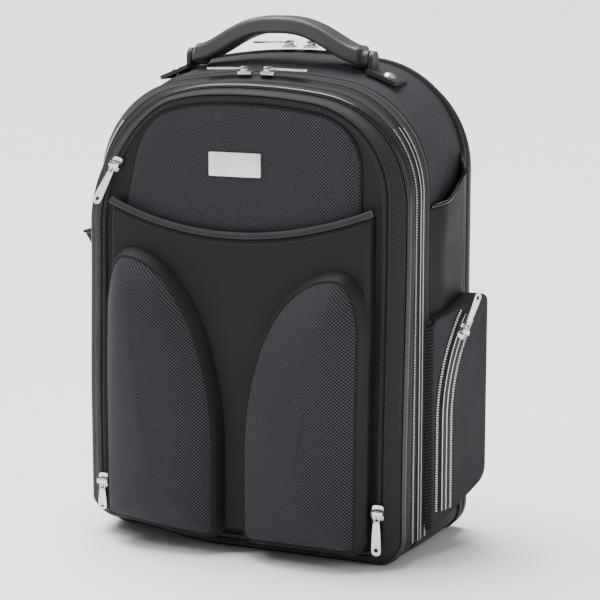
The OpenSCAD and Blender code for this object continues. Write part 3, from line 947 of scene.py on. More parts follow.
def cord_mesh(bm: bmesh.types.BMesh, track: Track, radius: float, closed: bool, flat: float = 1.0,
              sides: int = 10) -> None:
    """Lay a round or flattened cord along a track.

    Args:
        bm: The mesh that gets the cord.
        track: Its centreline and outward directions.
        radius: Its radius across the outward direction.
        closed: Whether the line runs back to its start.
        flat: Its height as a share of its width.
        sides: Number of sides.
    """
    last = len(track.points) - 1
    rows = []
    for s in range(sides):
        a = 2 * math.pi * s / sides
        row = []
        for k, (p, o) in enumerate(zip(track.points, track.outs)):
            ahead = track.points[(k + 1) % (last + 1)] if closed else track.points[min(last, k + 1)]
            behind = track.points[k - 1] if closed else track.points[max(0, k - 1)]
            side = (ahead - behind).normalized().cross(o).normalized()
            row.append(p + o * (math.cos(a) * radius * flat) + side * (math.sin(a) * radius))
        rows.append(row)
    lay_sheet(bm, rows, closed=closed, joined=True)
    if not closed:
        cap_rows(bm, [row[0] for row in rows])
        cap_rows(bm, [row[-1] for row in rows], flip=True)


def outward_of(rows: Sequence[Vector], centre: Vector, closed: bool = True) -> Track:
    """Make a track from a closed ring round the bag."""
    count = len(rows)
    outs = []
    for k, p in enumerate(rows):
        along = rows[(k + 1) % count] - rows[k - 1] if closed else None
        out = along.cross(Vector((0, 1, 0)))
        away = Vector((p.x - centre.x, 0, p.z - centre.z))
        outs.append((out if out.dot(away) > 0 else -out).normalized())
    return Track(list(rows), outs)


FORWARD = Vector((0, -1, 0))
CENTRE = Vector((0, 0, 210))


# --------------------------------------------------------------- the bag's body


@dataclass
class Gussets:
    """The walls that run round the bag, between its zips and its front and back.

    Attributes:
        shape: The bag's shape.
        count: Points round each ring.
        bulge: How far the cloth stands out between its seams.
        wall: Thickness of cloth and padding.
    """

    shape: BagShape
    count: int = 320
    bulge: float = 1.0
    wall: float = 3.0

    def band(self, edges: Point2, hems: Point2, steps: int) -> list[list[Vector]]:
        """Rows round the bag; below the zips' ends the band widens to its hems.

        Args:
            edges: Depth of its front and rear edges.
            hems: Depth of those edges along the foot.
            steps: Number of rows less one.

        Returns:
            Closed rows.
        """
        rows = []
        for i in range(steps + 1):
            t = i / steps
            y = lerp(edges[0], edges[1], t)
            swell = self.bulge * math.sin(math.pi * t)
            inner = self.shape.outline(y, swell - 0.2).ring(self.count)
            outer = self.shape.outline(y, swell + 0.8).ring(self.count)
            row = []
            for (x, z), (ox, oz) in zip(inner, outer):
                foot = 1 - smooth(self.shape.zip_foot_z - 2, self.shape.zip_foot_z, z)
                depth = lerp(lerp(edges[0], hems[0], foot), lerp(edges[1], hems[1], foot), t)
                out = Vector((ox - x, 0, oz - z)).normalized()
                p = Vector((x, depth, z))
                lift = 0.0 if z < 10 else (ripple(p, 48, 0.9) + ripple(p, 19, 0.35)) * math.sin(math.pi * t)
                row.append(p + out * lift)
            rows.append(row)
        return rows

    def build(self) -> None:
        """Build the three gussets and the seams along them."""
        s = self.shape
        plans = [
            ("front_wall", "front_section", "front_gusset", (s.front_y, s.zip_front_y),
             (s.front_y, s.zip_y - 0.2), NYLON, 6),
            ("main_wall", "main_body", "main_gusset", (s.zip_rear_y, s.gusset_end_y),
             (s.zip_y + 0.2, s.gusset_end_y), BALLISTIC, 18),
            ("rear_wall", "rear_section", "rear_gusset", (s.rear_gusset_y, s.back_y),
             (s.rear_gusset_y, s.back_y), NYLON, 4),
        ]
        for name, body, node, edges, hems, finish, steps in plans:
            bm = bmesh.new()
            rows = self.band(edges, hems, steps)
            lay_sheet(bm, rows, closed=True)
            slot = "woven_fabric" if finish is BALLISTIC else "nylon_fabric"
            obj = Piece(name, body, finish, (node,), slot).finish_mesh(bm)
            round_bag = sum((a - b).length for a, b in zip(rows[0], rows[0][1:] + rows[0][:1]))
            solid = obj.modifiers.new("wall", "SOLIDIFY")
            solid.thickness, solid.offset = self.wall * MM, -1.0
        for name, body, y in (("front_wall_seam", "front_section", s.zip_front_y - 2.0),
                              ("main_wall_seam", "main_body", s.zip_rear_y + 2.0),
                              ("main_wall_rear_seam", "main_body", s.gusset_end_y - 2.0),
                              ("rear_wall_seam", "rear_section", s.rear_gusset_y + 2.0)):
            row = strip_rows(s, [(y, 0.25)], 700, 22)[0]
            seam(name, body, [track_on_rows(row, CENTRE)])


@dataclass
class BagZip:
    """A zip that runs round the bag: two tapes, their coils and woven guide lines.

    Attributes:
        shape: The bag's shape.
        name: Start of its pieces' names.
        middle: Depth of its middle.
        edges: Depth of its front and rear edges.
        bodies: Bodies of its front and rear halves.
        nodes: CAD nodes of its front and rear halves.
        open_foot: Whether it stops above the foot.
        bright: Whether it has silver lines and pale ladders.
    """

    shape: BagShape
    name: str
    middle: float
    edges: Point2
    bodies: tuple[str, str]
    nodes: tuple[str, str]
    open_foot: bool
    bright: bool
    coil_half: float = 3.4
    rise: float = 1.15
    count: int = 420
    leg_top: float = 384.0
    ladder_tops: Point2 = (384.0, 200.0)

    def rows(self, depths: Sequence[Point2]) -> list[list[Vector]]:
        """Rows of points along the zip at depths and growths."""
        if self.open_foot:
            return strip_rows(self.shape, depths, self.count, self.shape.zip_foot_z)
        return ring_rows(self.shape, depths, self.count)

    def track(self, y: float, grow: float) -> Track:
        """A line along the zip."""
        row = self.rows([(y, grow)])[0]
        if self.open_foot:
            return track_on_rows(row, CENTRE)
        return track_on_rows(row + [row[0]], CENTRE)

    def build_half(self, side: int) -> None:
        """Build one half.

        Args:
            side: 0 for the front half, 1 for the rear.
        """
        sign = -1 if side == 0 else 1
        edge = self.edges[side]
        tape = abs(edge - self.middle)
        where = "front" if side == 0 else "rear"
        body = self.bodies[side]
        steps = [(0.15, 0.35), (0.5, self.rise * 0.75), (1.3, self.rise), (2.2, self.rise * 0.85),
                 (self.coil_half, 0.15), (self.coil_half + 0.8, -0.35), (tape * 0.6, -0.35),
                 (tape - 2.5, -0.15), (tape - 0.1, 0.1)]
        bm = bmesh.new()
        lay_sheet(bm, self.rows([(self.middle + sign * d, g) for d, g in steps if d < tape]),
                  closed=not self.open_foot)
        piece = Piece(f"{self.name}_{where}_tape", body, TAPE, (self.nodes[side],), "zip_tape", wall=1.4)
        piece.finish_mesh(bm)
        teeth = self.track(self.middle + sign * 0.75, self.rise * 0.95)
        seam(f"{self.name}_{where}_coil", body, [teeth], COIL, 1.9, (1.0, 1.5, 0.55), "zip_tape")
        if not self.bright:
            return
        line = bmesh.new()
        for track in self.legs(self.track(self.middle + sign * 2.9, self.rise * 0.7), self.leg_top):
            cord_mesh(line, track, 0.62, False, flat=0.6, sides=6)
        Piece(f"{self.name}_{where}_line", body, SILVER_THREAD, slot="zip_metal").finish_mesh(line)
        ladders = self.legs(self.track(self.middle + sign * (tape - 3.0), 0.35), self.ladder_tops[side])
        seam(f"{self.name}_{where}_ladder", body, ladders, SILVER_THREAD, 2.3, (1.15, 2.7, 0.5), "zip_metal")

    def legs(self, track: Track, top: float) -> list[Track]:
        """Cut a line that runs over the crown down to its two legs on the flanks.

        Args:
            track: The whole line.
            top: Height of the legs' upper ends.

        Returns:
            Its right and left legs.
        """
        last = len(track.points)
        first = next(k for k, p in enumerate(track.points) if p.z > top)
        return [Track(track.points[:first], track.outs[:first]),
                Track(track.points[last - first:], track.outs[last - first:])]

    def build(self) -> None:
        """Build both halves."""
        self.build_half(0)
        self.build_half(1)


@dataclass
class Piping:
    """A shiny cord sewn into a seam round the bag."""

    shape: BagShape
    name: str
    body: str
    node: str
    y: float
    grow: float
    radius: float = 2.5

    def build(self) -> None:
        """Build the cord."""
        ring = self.shape.outline(self.y, self.grow).ring(400)
        track = outward_of([Vector((x, self.y, z)) for x, z in ring], CENTRE)
        bm = bmesh.new()
        cord_mesh(bm, track, self.radius, True, sides=12)
        Piece(self.name, self.body, PIPING, (self.node,), "piping", angle=60).finish_mesh(bm)


@dataclass
class FrontFace:
    """The organiser's face: border, coil zip, smooth panel, padded upper panel and name plate.

    Attributes:
        shape: The bag's shape.
        count: Points round each ring.
    """

    shape: BagShape
    count: int = 360
    zip_in: float = 5.5

    def ring(self, grow: float, y: float) -> list[Vector]:
        """A ring of the organiser's outline at a depth."""
        return [Vector((x, y, z)) for x, z in self.shape.organizer(grow).ring(self.count)]

    def build_border(self) -> None:
        """Build the sloping border between the piping and the organiser's zip."""
        y = self.shape.panel_y
        outer_y = self.shape.front_y - 5.4
        outer = [Vector((x, outer_y, z)) for x, z in self.shape.outline(outer_y, -2.4).ring(self.count)]
        inner = self.ring(0.5, y - 0.8)
        tuck = self.ring(0.5, y + 2.0)
        rows = [tuck, inner]
        for i in range(1, 8):
            t = i / 8
            row = []
            for a, b in zip(inner, outer):
                p = a.lerp(b, t)
                row.append(p + FORWARD * (1.5 * math.sin(math.pi * t) + ripple(p, 15, 0.3)))
            rows.append(row)
        flange = [Vector((x, self.shape.front_y, z)) for x, z in
                  self.shape.outline(self.shape.front_y, -6.0).ring(self.count)]
        rows += [outer, flange]
        bm = bmesh.new()
        lay_sheet(bm, rows, closed=True)
        Piece("border", "front_section", RIB_NYLON, ("front_border",), "nylon_fabric",
              wall=1.2).finish_mesh(bm)
        for name, t in (("border_inner_seam", 0.12), ("border_outer_seam", 0.86)):
            line = [a.lerp(b, t) + FORWARD * (1.5 * math.sin(math.pi * t) + 0.2) for a, b in zip(inner, outer)]
            seam(name, "front_section", [Track(line + [line[0]], [FORWARD] * (len(line) + 1))])

    def build_zip(self) -> None:
        """Build the organiser's coil zip."""
        y = self.shape.panel_y - 0.2
        middle = -self.zip_in / 2 - 0.1
        profile = [(-0.2, 0.0), (-0.5, 0.55), (-1.3, 0.7), (middle - 0.15, 1.2), (middle + -1.6, 0.75),
                   (-self.zip_in + 0.5, 0.5), (-self.zip_in, 0.0)]
        bm = bmesh.new()
        lay_sheet(bm, [self.ring(g, y - h) for g, h in profile], closed=True)
        Piece("organizer_tape", "organizer", TAPE, ("organizer_zip",), "zip_tape").finish_mesh(bm)
        tracks = []
        for grow in (middle + 0.75, middle - 0.75):
            line = self.ring(grow, y - 1.15)
            tracks.append(Track(line + [line[0]], [FORWARD] * (len(line) + 1)))
        seam("organizer_coil", "organizer", tracks, COIL, 2.2, (0.9, 0.8, 0.35), "zip_tape")

    def build_panel(self) -> None:
        """Build the smooth panel and its wall."""
        y = self.shape.panel_y
        outline = self.shape.organizer(-0.1)
        spine = ((0.0, 150.0), (0.0, 290.0))
        profile = [(0.0, -1.4), (0.001, -0.3), (0.045, -0.25), (0.06, -0.6)]
        profile += [(0.06 + 0.9 * (i / 12), -0.3) for i in range(1, 13)]
        bm = bmesh.new()
        puff(bm, outline.ring(self.count), spine, profile, lambda x, z, h: Vector((x, y - min(h, 0.0), z)), 0.25)
        map_flat(bm)
        obj = Piece("organizer_face", "organizer", NYLON, ("organizer_panel",), "nylon_fabric").finish_mesh(bm)
        point_faces(obj, FORWARD)
        add_wall(obj, 1.4)

    def build_upper(self) -> None:
        """Build the padded upper panel, its seam and the name plate."""
        y = self.shape.panel_y - 0.2
        low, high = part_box("upper_panel")
        half = high.x / MM
        outline = Outline(2 * half, high.z / MM, 46.0, 460.0, 10.0, low.z / MM)
        rise = abs(low.y / MM - y)
        ring = outline.ring(280)
        spine = ((-half + 60, 310.0), (half - 60, 310.0))
        profile = crowned(rise * 0.35, rise - 0.1, 14, 0.985, 9.0)
        bm = bmesh.new()
        puff(bm, ring, spine, profile, lambda x, z, h: Vector((x, y - h, z)), 0.12)
        map_flat(bm)
        Piece("upper_pad", "organizer", BALLISTIC, ("upper_panel",), "woven_fabric", fill=0.3).finish_mesh(bm)
        edge = [Vector((x, y - 0.5, z)) for x, z in outline.grown(0.9).ring(280)]
        bm = bmesh.new()
        cord_mesh(bm, Track(edge, [FORWARD] * len(edge)), 0.9, True, flat=0.8, sides=8)
        Piece("upper_seam_roll", "organizer", TAPE, slot="nylon_fabric").finish_mesh(bm)
        low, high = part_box("name_plate")
        centre, size = (low + high) / 2, high - low
        bm = bmesh.new()
        bmesh.ops.create_cube(bm, size=1.0, matrix=Matrix.Translation(centre) @ Matrix.Diagonal((*size, 1.0)))
        corners = [e for e in bm.edges if abs((e.verts[0].co - e.verts[1].co).normalized().y) > 0.9]
        bmesh.ops.bevel(bm, geom=corners, offset=1.0 * MM, affect="EDGES", segments=2, profile=0.5, material=-1)
        rim = [e for e in bm.edges if all(v.co.y < centre.y for v in e.verts)]
        bmesh.ops.bevel(bm, geom=rim, offset=0.45 * MM, affect="EDGES", segments=2, profile=0.5, material=-1)
        Piece("plate", "organizer", PLATE, ("name_plate",), "plate_metal", angle=30).finish_mesh(bm)

    def build(self) -> None:
        """Build every piece of the face."""
        self.build_border()
        self.build_zip()
        self.build_panel()
        self.build_upper()


def point_faces(obj: bpy.types.Object, towards: Vector) -> None:
    """Turn an open sheet over if most of it looks away.

    Args:
        obj: The piece.
        towards: The direction that its outer face looks in.
    """
    total = sum((f.normal.dot(towards) * f.area for f in obj.data.polygons))
    if total < 0:
        obj.data.flip_normals()


def add_wall(obj: bpy.types.Object, thickness: float) -> None:
    """Give a sheet its thickness on its inner side, in millimetres."""
    solid = obj.modifiers.new("wall", "SOLIDIFY")
    solid.thickness, solid.offset = thickness * MM, -1.0


@dataclass
class DocumentPocket:
    """The flat pocket across the front, with its bound, sagging rim.

    Attributes:
        half: Half its width.
        foot: Height of its foot.
        face: Depth of its front.
        back: Depth of the panel that it is sewn to.
    """

    half: float = 128.0
    foot: float = 17.0
    face: float = -93.0
    back: float = -84.5
    rim_low: float = 286.0
    rim_rise: float = 26.0

    def rim(self, x: float) -> float:
        """Height of the rim at a place across the pocket."""
        return self.rim_low + self.rim_rise * (x / self.half) ** 2

    def build(self) -> None:
        """Build the pocket, its stitching and its binding."""
        columns, rows = 90, 46
        radius = 7.0
        grid = []
        for j in range(rows + 1):
            v = j / rows
            row = []
            for i in range(columns + 1):
                x = lerp(-self.half, self.half, i / columns)
                z = lerp(self.foot, self.rim(x), v)
                edge = min(self.half - abs(x), z - self.foot)
                side = 1 - (1 - smooth(0.0, radius, edge)) ** 2
                y = lerp(self.back, self.face, side)
                y += ripple(Vector((x, 3, z)), 55, 0.7) * side * (1 - v)
                row.append(Vector((x, y, z)))
            grid.append(row)
        bm = bmesh.new()
        lay_sheet(bm, grid)
        obj = Piece("document_bag", "organizer", NYLON, ("document_pocket",), "nylon_fabric").finish_mesh(bm)
        point_faces(obj, FORWARD)
        add_wall(obj, 1.6)
        line = [Vector((x, self.face + 0.2, self.rim(x) + 2.4)) for x in
                (lerp(-self.half, self.half, i / 120) for i in range(121))]
        bm = bmesh.new()
        cord_mesh(bm, Track(line, [FORWARD] * len(line)), 2.9, False, flat=0.62, sides=12)
        Piece("pocket_rim_binding", "organizer", BINDING, ("pocket_binding",), "piping").finish_mesh(bm)
        stitch = [p + Vector((0, -1.9, -1.2)) for p in line]
        low = [Vector((p.x, self.face - 0.1, p.z - 7.5)) for p in line[4:-4]]
        seam("pocket_rim_stitches", "organizer", [Track(stitch, [FORWARD] * len(stitch)),
                                                  Track(low, [FORWARD] * len(low))])


@dataclass
class HeadsetPocket:
    """An arched, padded headset pocket: a crowned lid on a sloping band.

    Attributes:
        side: 1 for the right pocket, -1 for the left.
        apex: Top of its arch.
        inner: Distance of its inner edge from the middle.
        outer: Distance of its outer edge.
        base: Depth of the band's back edge.
        edge: Depth of the seam between band and lid.
        top: Depth of the lid's crown.
        band: How far the band stands out all round.
    """

    side: int
    apex: Point2
    inner: float = 16.0
    outer: float = 121.0
    base: float = -93.8
    edge: float = -105.6
    top: float = -122.5
    band: float = 7.0

    def outline(self) -> list[Point2]:
        """The lid's outline: a straight outer side and a leaning inner one."""
        points = [(self.inner + 4, 19.0), (self.outer - 4, 19.0), (self.outer, 23.0)]
        top_x, top_z = self.apex
        points += [(top_x + (self.outer - top_x) * x, 208 + (top_z - 208) * z) for x, z in arc((0, 0), 1, 0, 84, 16)]
        points += [(top_x + (top_x - self.inner) * x, 96 + (top_z - 96) * z) for x, z in arc((0, 0), 1, 90, 180, 40)]
        points.append((self.inner, 23.0))
        ring = resample(points, 220, True)
        for _ in range(3):
            ring = [((a[0] + 2 * b[0] + c[0]) / 4, (a[1] + 2 * b[1] + c[1]) / 4)
                    for a, b, c in zip(ring[-1:] + ring[:-1], ring, ring[1:] + ring[:1])]
        return [(self.side * x, z) for x, z in ring]

    def grown(self, ring: Sequence[Point2], by: float) -> list[Point2]:
        """The outline moved outwards by a distance."""
        result = []
        count = len(ring)
        for k, (x, z) in enumerate(ring):
            ax, az = ring[k - 1]
            bx, bz = ring[(k + 1) % count]
            length = math.dist((ax, az), (bx, bz))
            nx, nz = (bz - az) / length * self.side, -(bx - ax) / length * self.side
            result.append((x + nx * by, z + nz * by))
        return result

    def build(self) -> None:
        """Build the lid, its band and the rolled seam between them."""
        name = "right" if self.side > 0 else "left"
        body = f"headset_flap_{name}"
        ring = self.outline()
        depth = self.edge - self.base
        rows = []
        for i in range(9):
            t = i / 8
            grow = self.band * (1 - t) ** 0.8
            y = self.base + depth * t
            rows.append([Vector((x, y - 0.7 * math.sin(math.pi * t), z)) for x, z in self.grown(ring, grow)])
        rows.insert(0, [Vector((x, self.base, z)) for x, z in self.grown(ring, self.band - 2.5)])
        bm = bmesh.new()
        lay_sheet(bm, rows, closed=True)
        Piece(f"headset_band_{name}", body, NYLON, (f"lid_band_{name}",), "nylon_fabric",
              wall=2.0).finish_mesh(bm)
        rise = self.edge - self.top
        spine = ((self.side * 69.0, 66.0), (self.side * 92.0, self.apex[1] - 52))
        profile = [(0.0, -2.0), (0.0, 0.0), (0.01, 1.3)]
        profile += [(t, rise * (1 - (1 - t) ** 2.0) ** 0.8) for t in
                    (0.98 * (i / 22) ** 1.35 for i in range(1, 23))]
        bm = bmesh.new()
        puff(bm, ring, spine, profile, lambda x, z, h: Vector((x, self.edge - h, z)), 0.35)
        map_flat(bm)
        Piece(f"headset_lid_{name}_pad", body, BALLISTIC, (f"headset_lid_{name}",), "woven_fabric",
              fill=0.8).finish_mesh(bm)
        line = [Vector((x, self.edge + 0.2, z)) for x, z in self.grown(ring, 0.5)]
        bm = bmesh.new()
        cord_mesh(bm, Track(line, [FORWARD] * len(line)), 0.8, True, sides=8)
        Piece(f"headset_seam_{name}", body, TAPE, slot="nylon_fabric").finish_mesh(bm)
        stitch = [Vector((x, self.edge + 2.4, z)) for x, z in self.grown(ring, 1.5)]
        seam(f"headset_stitches_{name}", body, [Track(stitch + [stitch[0]], [FORWARD] * (len(stitch) + 1))])


# ----------------------------------------------------------------- the flanks


@dataclass
class Flank:
    """One side of the bag, and the pockets that stand on it.

    Attributes:
        shape: The bag's shape.
        side: 1 for the right, -1 for the left.
    """

    shape: BagShape
    side: int
    front: float = -31.0
    rear: float = 45.0
    foot: Point2 = (20.0, 58.0)
    top: Point2 = (214.0, 232.0)
    out: Point2 = (7.0, 28.0)
    bend: float = 152.0
    bend_z: float = 122.0
    zip_v: float = 17.0

    @property
    def name(self) -> str:
        """The side's name."""
        return "right" if self.side > 0 else "left"

    def at(self, y: float, z: float, out: float) -> Vector:
        """A point that stands out from the flank."""
        return Vector((self.side * (self.shape.side(y) + out), y, z))

    def standing(self, y: float) -> float:
        """How far the side pocket's face stands out at a depth."""
        return table(y, [(self.front, self.out[0]), (self.rear, self.out[1])])

    def lean(self) -> float:
        """The angle between the pocket's face and the bag's depth."""
        return math.atan2(self.shape.side(self.rear) + self.out[1] - self.shape.side(self.front) - self.out[0],
                          self.rear - self.front)

    def on_face(self, v: float, z: float, out: float) -> Vector:
        """A point on the pocket's slanting face."""
        a = self.lean()
        x = self.shape.side(self.front) + self.out[0] + v * math.sin(a) + out * math.cos(a)
        return Vector((self.side * x, self.front + v * math.cos(a) - out * math.sin(a), z))

    def outline(self, inset: float = 0.0) -> list[Point2]:
        """The pocket's outline in depth and height, with rounded corners."""
        y0, y1 = self.front + inset, self.rear - inset
        corners = [(y0, self.foot[0] + inset), (y1, self.foot[1] + inset), (y1, self.top[1] - inset),
                   (y0, self.top[0] - inset)]
        radii = [9.0, 12.0, 9.0, 9.0]
        points: list[Point2] = []
        for k, (corner, radius) in enumerate(zip(corners, radii)):
            before, after = corners[k - 1], corners[(k + 1) % 4]
            a = math.dist(corner, before)
            b = math.dist(corner, after)
            start = (lerp(corner[0], before[0], radius / a), lerp(corner[1], before[1], radius / a))
            end = (lerp(corner[0], after[0], radius / b), lerp(corner[1], after[1], radius / b))
            for i in range(9):
                t = i / 8
                points.append(((1 - t) ** 2 * start[0] + 2 * t * (1 - t) * corner[0] + t * t * end[0],
                               (1 - t) ** 2 * start[1] + 2 * t * (1 - t) * corner[1] + t * t * end[1]))
        return resample(points, 200, True)

    def build_pocket(self, bm: bmesh.types.BMesh) -> None:
        """Lay the side pocket's shell."""
        ring = self.outline(0.6)
        spine = ((10.0, 92.0), (10.0, 184.0))
        levels = [(0.0, 0.0), (0.0, 0.3), (0.0, 0.7), (0.008, 0.92), (0.03, 0.985), (0.07, 1.0)]
        levels += [(0.07 + 0.9 * (i / 14), 1.0) for i in range(1, 15)]

        def place(y: float, z: float, h: float) -> Vector:
            bag = 0.2 + self.standing(y) * min(h, 1.0) + max(0.0, h - 1.0)
            return self.at(y, z, bag)
        rows = []
        for inward, level in levels:
            row = []
            for u, v in ring:
                su, sv = nearest((u, v), *spine)
                y, z = lerp(u, su, inward), lerp(v, sv, inward)
                p = place(y, z, level)
                if level >= 1.0:
                    p.x += self.side * (ripple(Vector((9, y, z)), 34, 0.7) - 0.8 + 0.6 * (1 - inward))
                row.append(p)
            rows.append(row)
        lay_sheet(bm, rows, closed=True)
        cap_rows(bm, rows[-1])
        map_side(bm)

    def zip_path(self, count: int = 160) -> list[Point2]:
        """The side zip's middle line on the pocket's face."""
        line = [(self.zip_v, 40.0), (self.zip_v, self.bend_z)]
        line += [(self.zip_v + self.bend * (1 - math.cos(math.radians(a))),
                  self.bend_z + self.bend * math.sin(math.radians(a))) for a in range(1, 38)]
        return resample(line, count, False)

    def zip_track(self, across: float, out: float) -> Track:
        """A line beside the side zip's middle.

        Args:
            across: Distance from the middle, forwards being negative.
            out: Height above the face.

        Returns:
            The track.
        """
        path = self.zip_path()
        last = len(path) - 1
        points = []
        for k, (v, z) in enumerate(path):
            a, b = path[max(0, k - 1)], path[min(last, k + 1)]
            length = math.dist(a, b)
            points.append(self.on_face(v + (b[1] - a[1]) / length * across, z - (b[0] - a[0]) / length * across,
                                       out))
        normal = (self.on_face(0, 0, 1) - self.on_face(0, 0, 0)).normalized()
        return Track(points, [normal] * len(points))

    def build_side_zip(self, tape: bmesh.types.BMesh) -> None:
        """Lay the side zip's tape and dress it."""
        steps = [(-12.0, 0.15), (-4.2, 0.2), (-3.4, 0.5), (-1.6, 1.15), (0.0, 0.75), (1.6, 1.15), (3.4, 0.5),
                 (4.2, 0.2), (12.0, 0.15)]
        lay_sheet(tape, [self.zip_track(a, h).points for a, h in steps])
        for k, across in enumerate((-2.9, 2.9)):
            line = bmesh.new()
            cord_mesh(line, self.zip_track(across, 0.95), 0.62, False, flat=0.6, sides=6)
            Piece(f"side_zip_line_{self.name}_{k}", "main_body", SILVER_THREAD, slot="zip_metal").finish_mesh(line)
        seam(f"side_zip_ladders_{self.name}", "main_body", [self.zip_track(-10.0, 0.35), self.zip_track(10.0, 0.35)],
             SILVER_THREAD, 2.3, (1.15, 2.6, 0.45), "zip_metal")
        seam(f"side_zip_coil_{self.name}", "main_body", [self.zip_track(-0.8, 1.0), self.zip_track(0.8, 1.0)],
             COIL, 1.9, (1.0, 1.4, 0.5), "zip_tape")


def map_side(bm: bmesh.types.BMesh) -> None:
    """Map the cloth obliquely across the mesh, so that no wall is seen edge-on by the map."""
    layer = bm.loops.layers.uv.verify()
    for face in bm.faces:
        for loop in face.loops:
            x, y, z = loop.vert.co
            loop[layer].uv = (y + 0.7 * abs(x), z + 0.4 * abs(x))


def open_pocket(bm: bmesh.types.BMesh, flank: Flank, ys: Point2, foot: Point2, rim: Point2, out_low: Point2,
                out_high: Point2, edge: float) -> list[Vector]:
    """Lay an open-topped pocket on a flank.

    Args:
        bm: The mesh that gets the pocket.
        flank: The flank that it stands on.
        ys: Depth of its front and rear edges.
        foot: Height of its foot at those edges.
        rim: Height of its rim at those edges.
        out_low: How far its foot stands out at those edges.
        out_high: How far its rim stands out at those edges.
        edge: Share of its width in which it turns down to the flank.

    Returns:
        The rim's points.
    """
    columns, levels = 48, 22
    grid = []
    for j in range(-3, levels + 1):
        v = max(0, j) / levels
        row = []
        for i in range(columns + 1):
            t = i / columns
            y = lerp(ys[0], ys[1], t)
            z = lerp(lerp(foot[0], foot[1], t), lerp(rim[0], rim[1], t ** 1.7), v)
            out = lerp(lerp(out_low[0], out_low[1], t), lerp(out_high[0], out_high[1], t), v)
            turn = 1 - (1 - smooth(0.0, edge, min(t, 1 - t))) ** 2
            if j < 0:
                turn *= math.sin(math.radians(30 * (j + 3)))
            wave = ripple(Vector((5, y, z)), 24, 0.8) * turn
            row.append(flank.at(y, z, 0.3 + out * turn + wave))
        grid.append(row)
    lay_sheet(bm, grid)
    return grid[-1]


@dataclass
class Flanks:
    """Both flanks: side pockets with curved zips, a phone pocket and a tester sleeve."""

    shape: BagShape

    def build(self) -> None:
        """Build the flanks' pieces."""
        right, left = Flank(self.shape, 1), Flank(self.shape, -1)
        shells, tapes = bmesh.new(), bmesh.new()
        for flank in (right, left):
            flank.build_pocket(shells)
            flank.build_side_zip(tapes)
        Piece("side_bellows", "main_body", BALLISTIC, ("side_pockets",), "woven_fabric").finish_mesh(shells)
        Piece("side_zip_tapes", "main_body", TAPE, ("side_zips",), "zip_tape", wall=0.8).finish_mesh(tapes)
        plans = [("phone", right, "phone_pocket", (-22.8, 44.8), (206.0, 226.0), (314.0, 355.0), (4.0, 9.5),
                  (8.6, 10.4), 0.3),
                 ("tester", left, "tester_sleeve", (-23.6, 19.6), (238.5, 238.5), (272.0, 272.0), (12.5, 12.5),
                  (34.0, 34.0), 0.13)]
        for name, flank, node, ys, foot, rim, low, high, edge in plans:
            bm = bmesh.new()
            top = open_pocket(bm, flank, ys, foot, rim, low, high, edge)
            obj = Piece(f"{name}_pouch", "main_body", NYLON, (node,), "nylon_fabric").finish_mesh(bm)
            point_faces(obj, Vector((flank.side, 0, 0)))
            add_wall(obj, 1.8)
            outs = [Vector((flank.side, 0, 0)).lerp(Vector((0, 0, 1)), 0.5).normalized()] * len(top)
            bm = bmesh.new()
            cord_mesh(bm, Track(top, outs), 1.7, False, sides=8)
            Piece(f"{name}_rim", "main_body", PIPING, slot="piping").finish_mesh(bm)


# ------------------------------------------------------------------ the handle


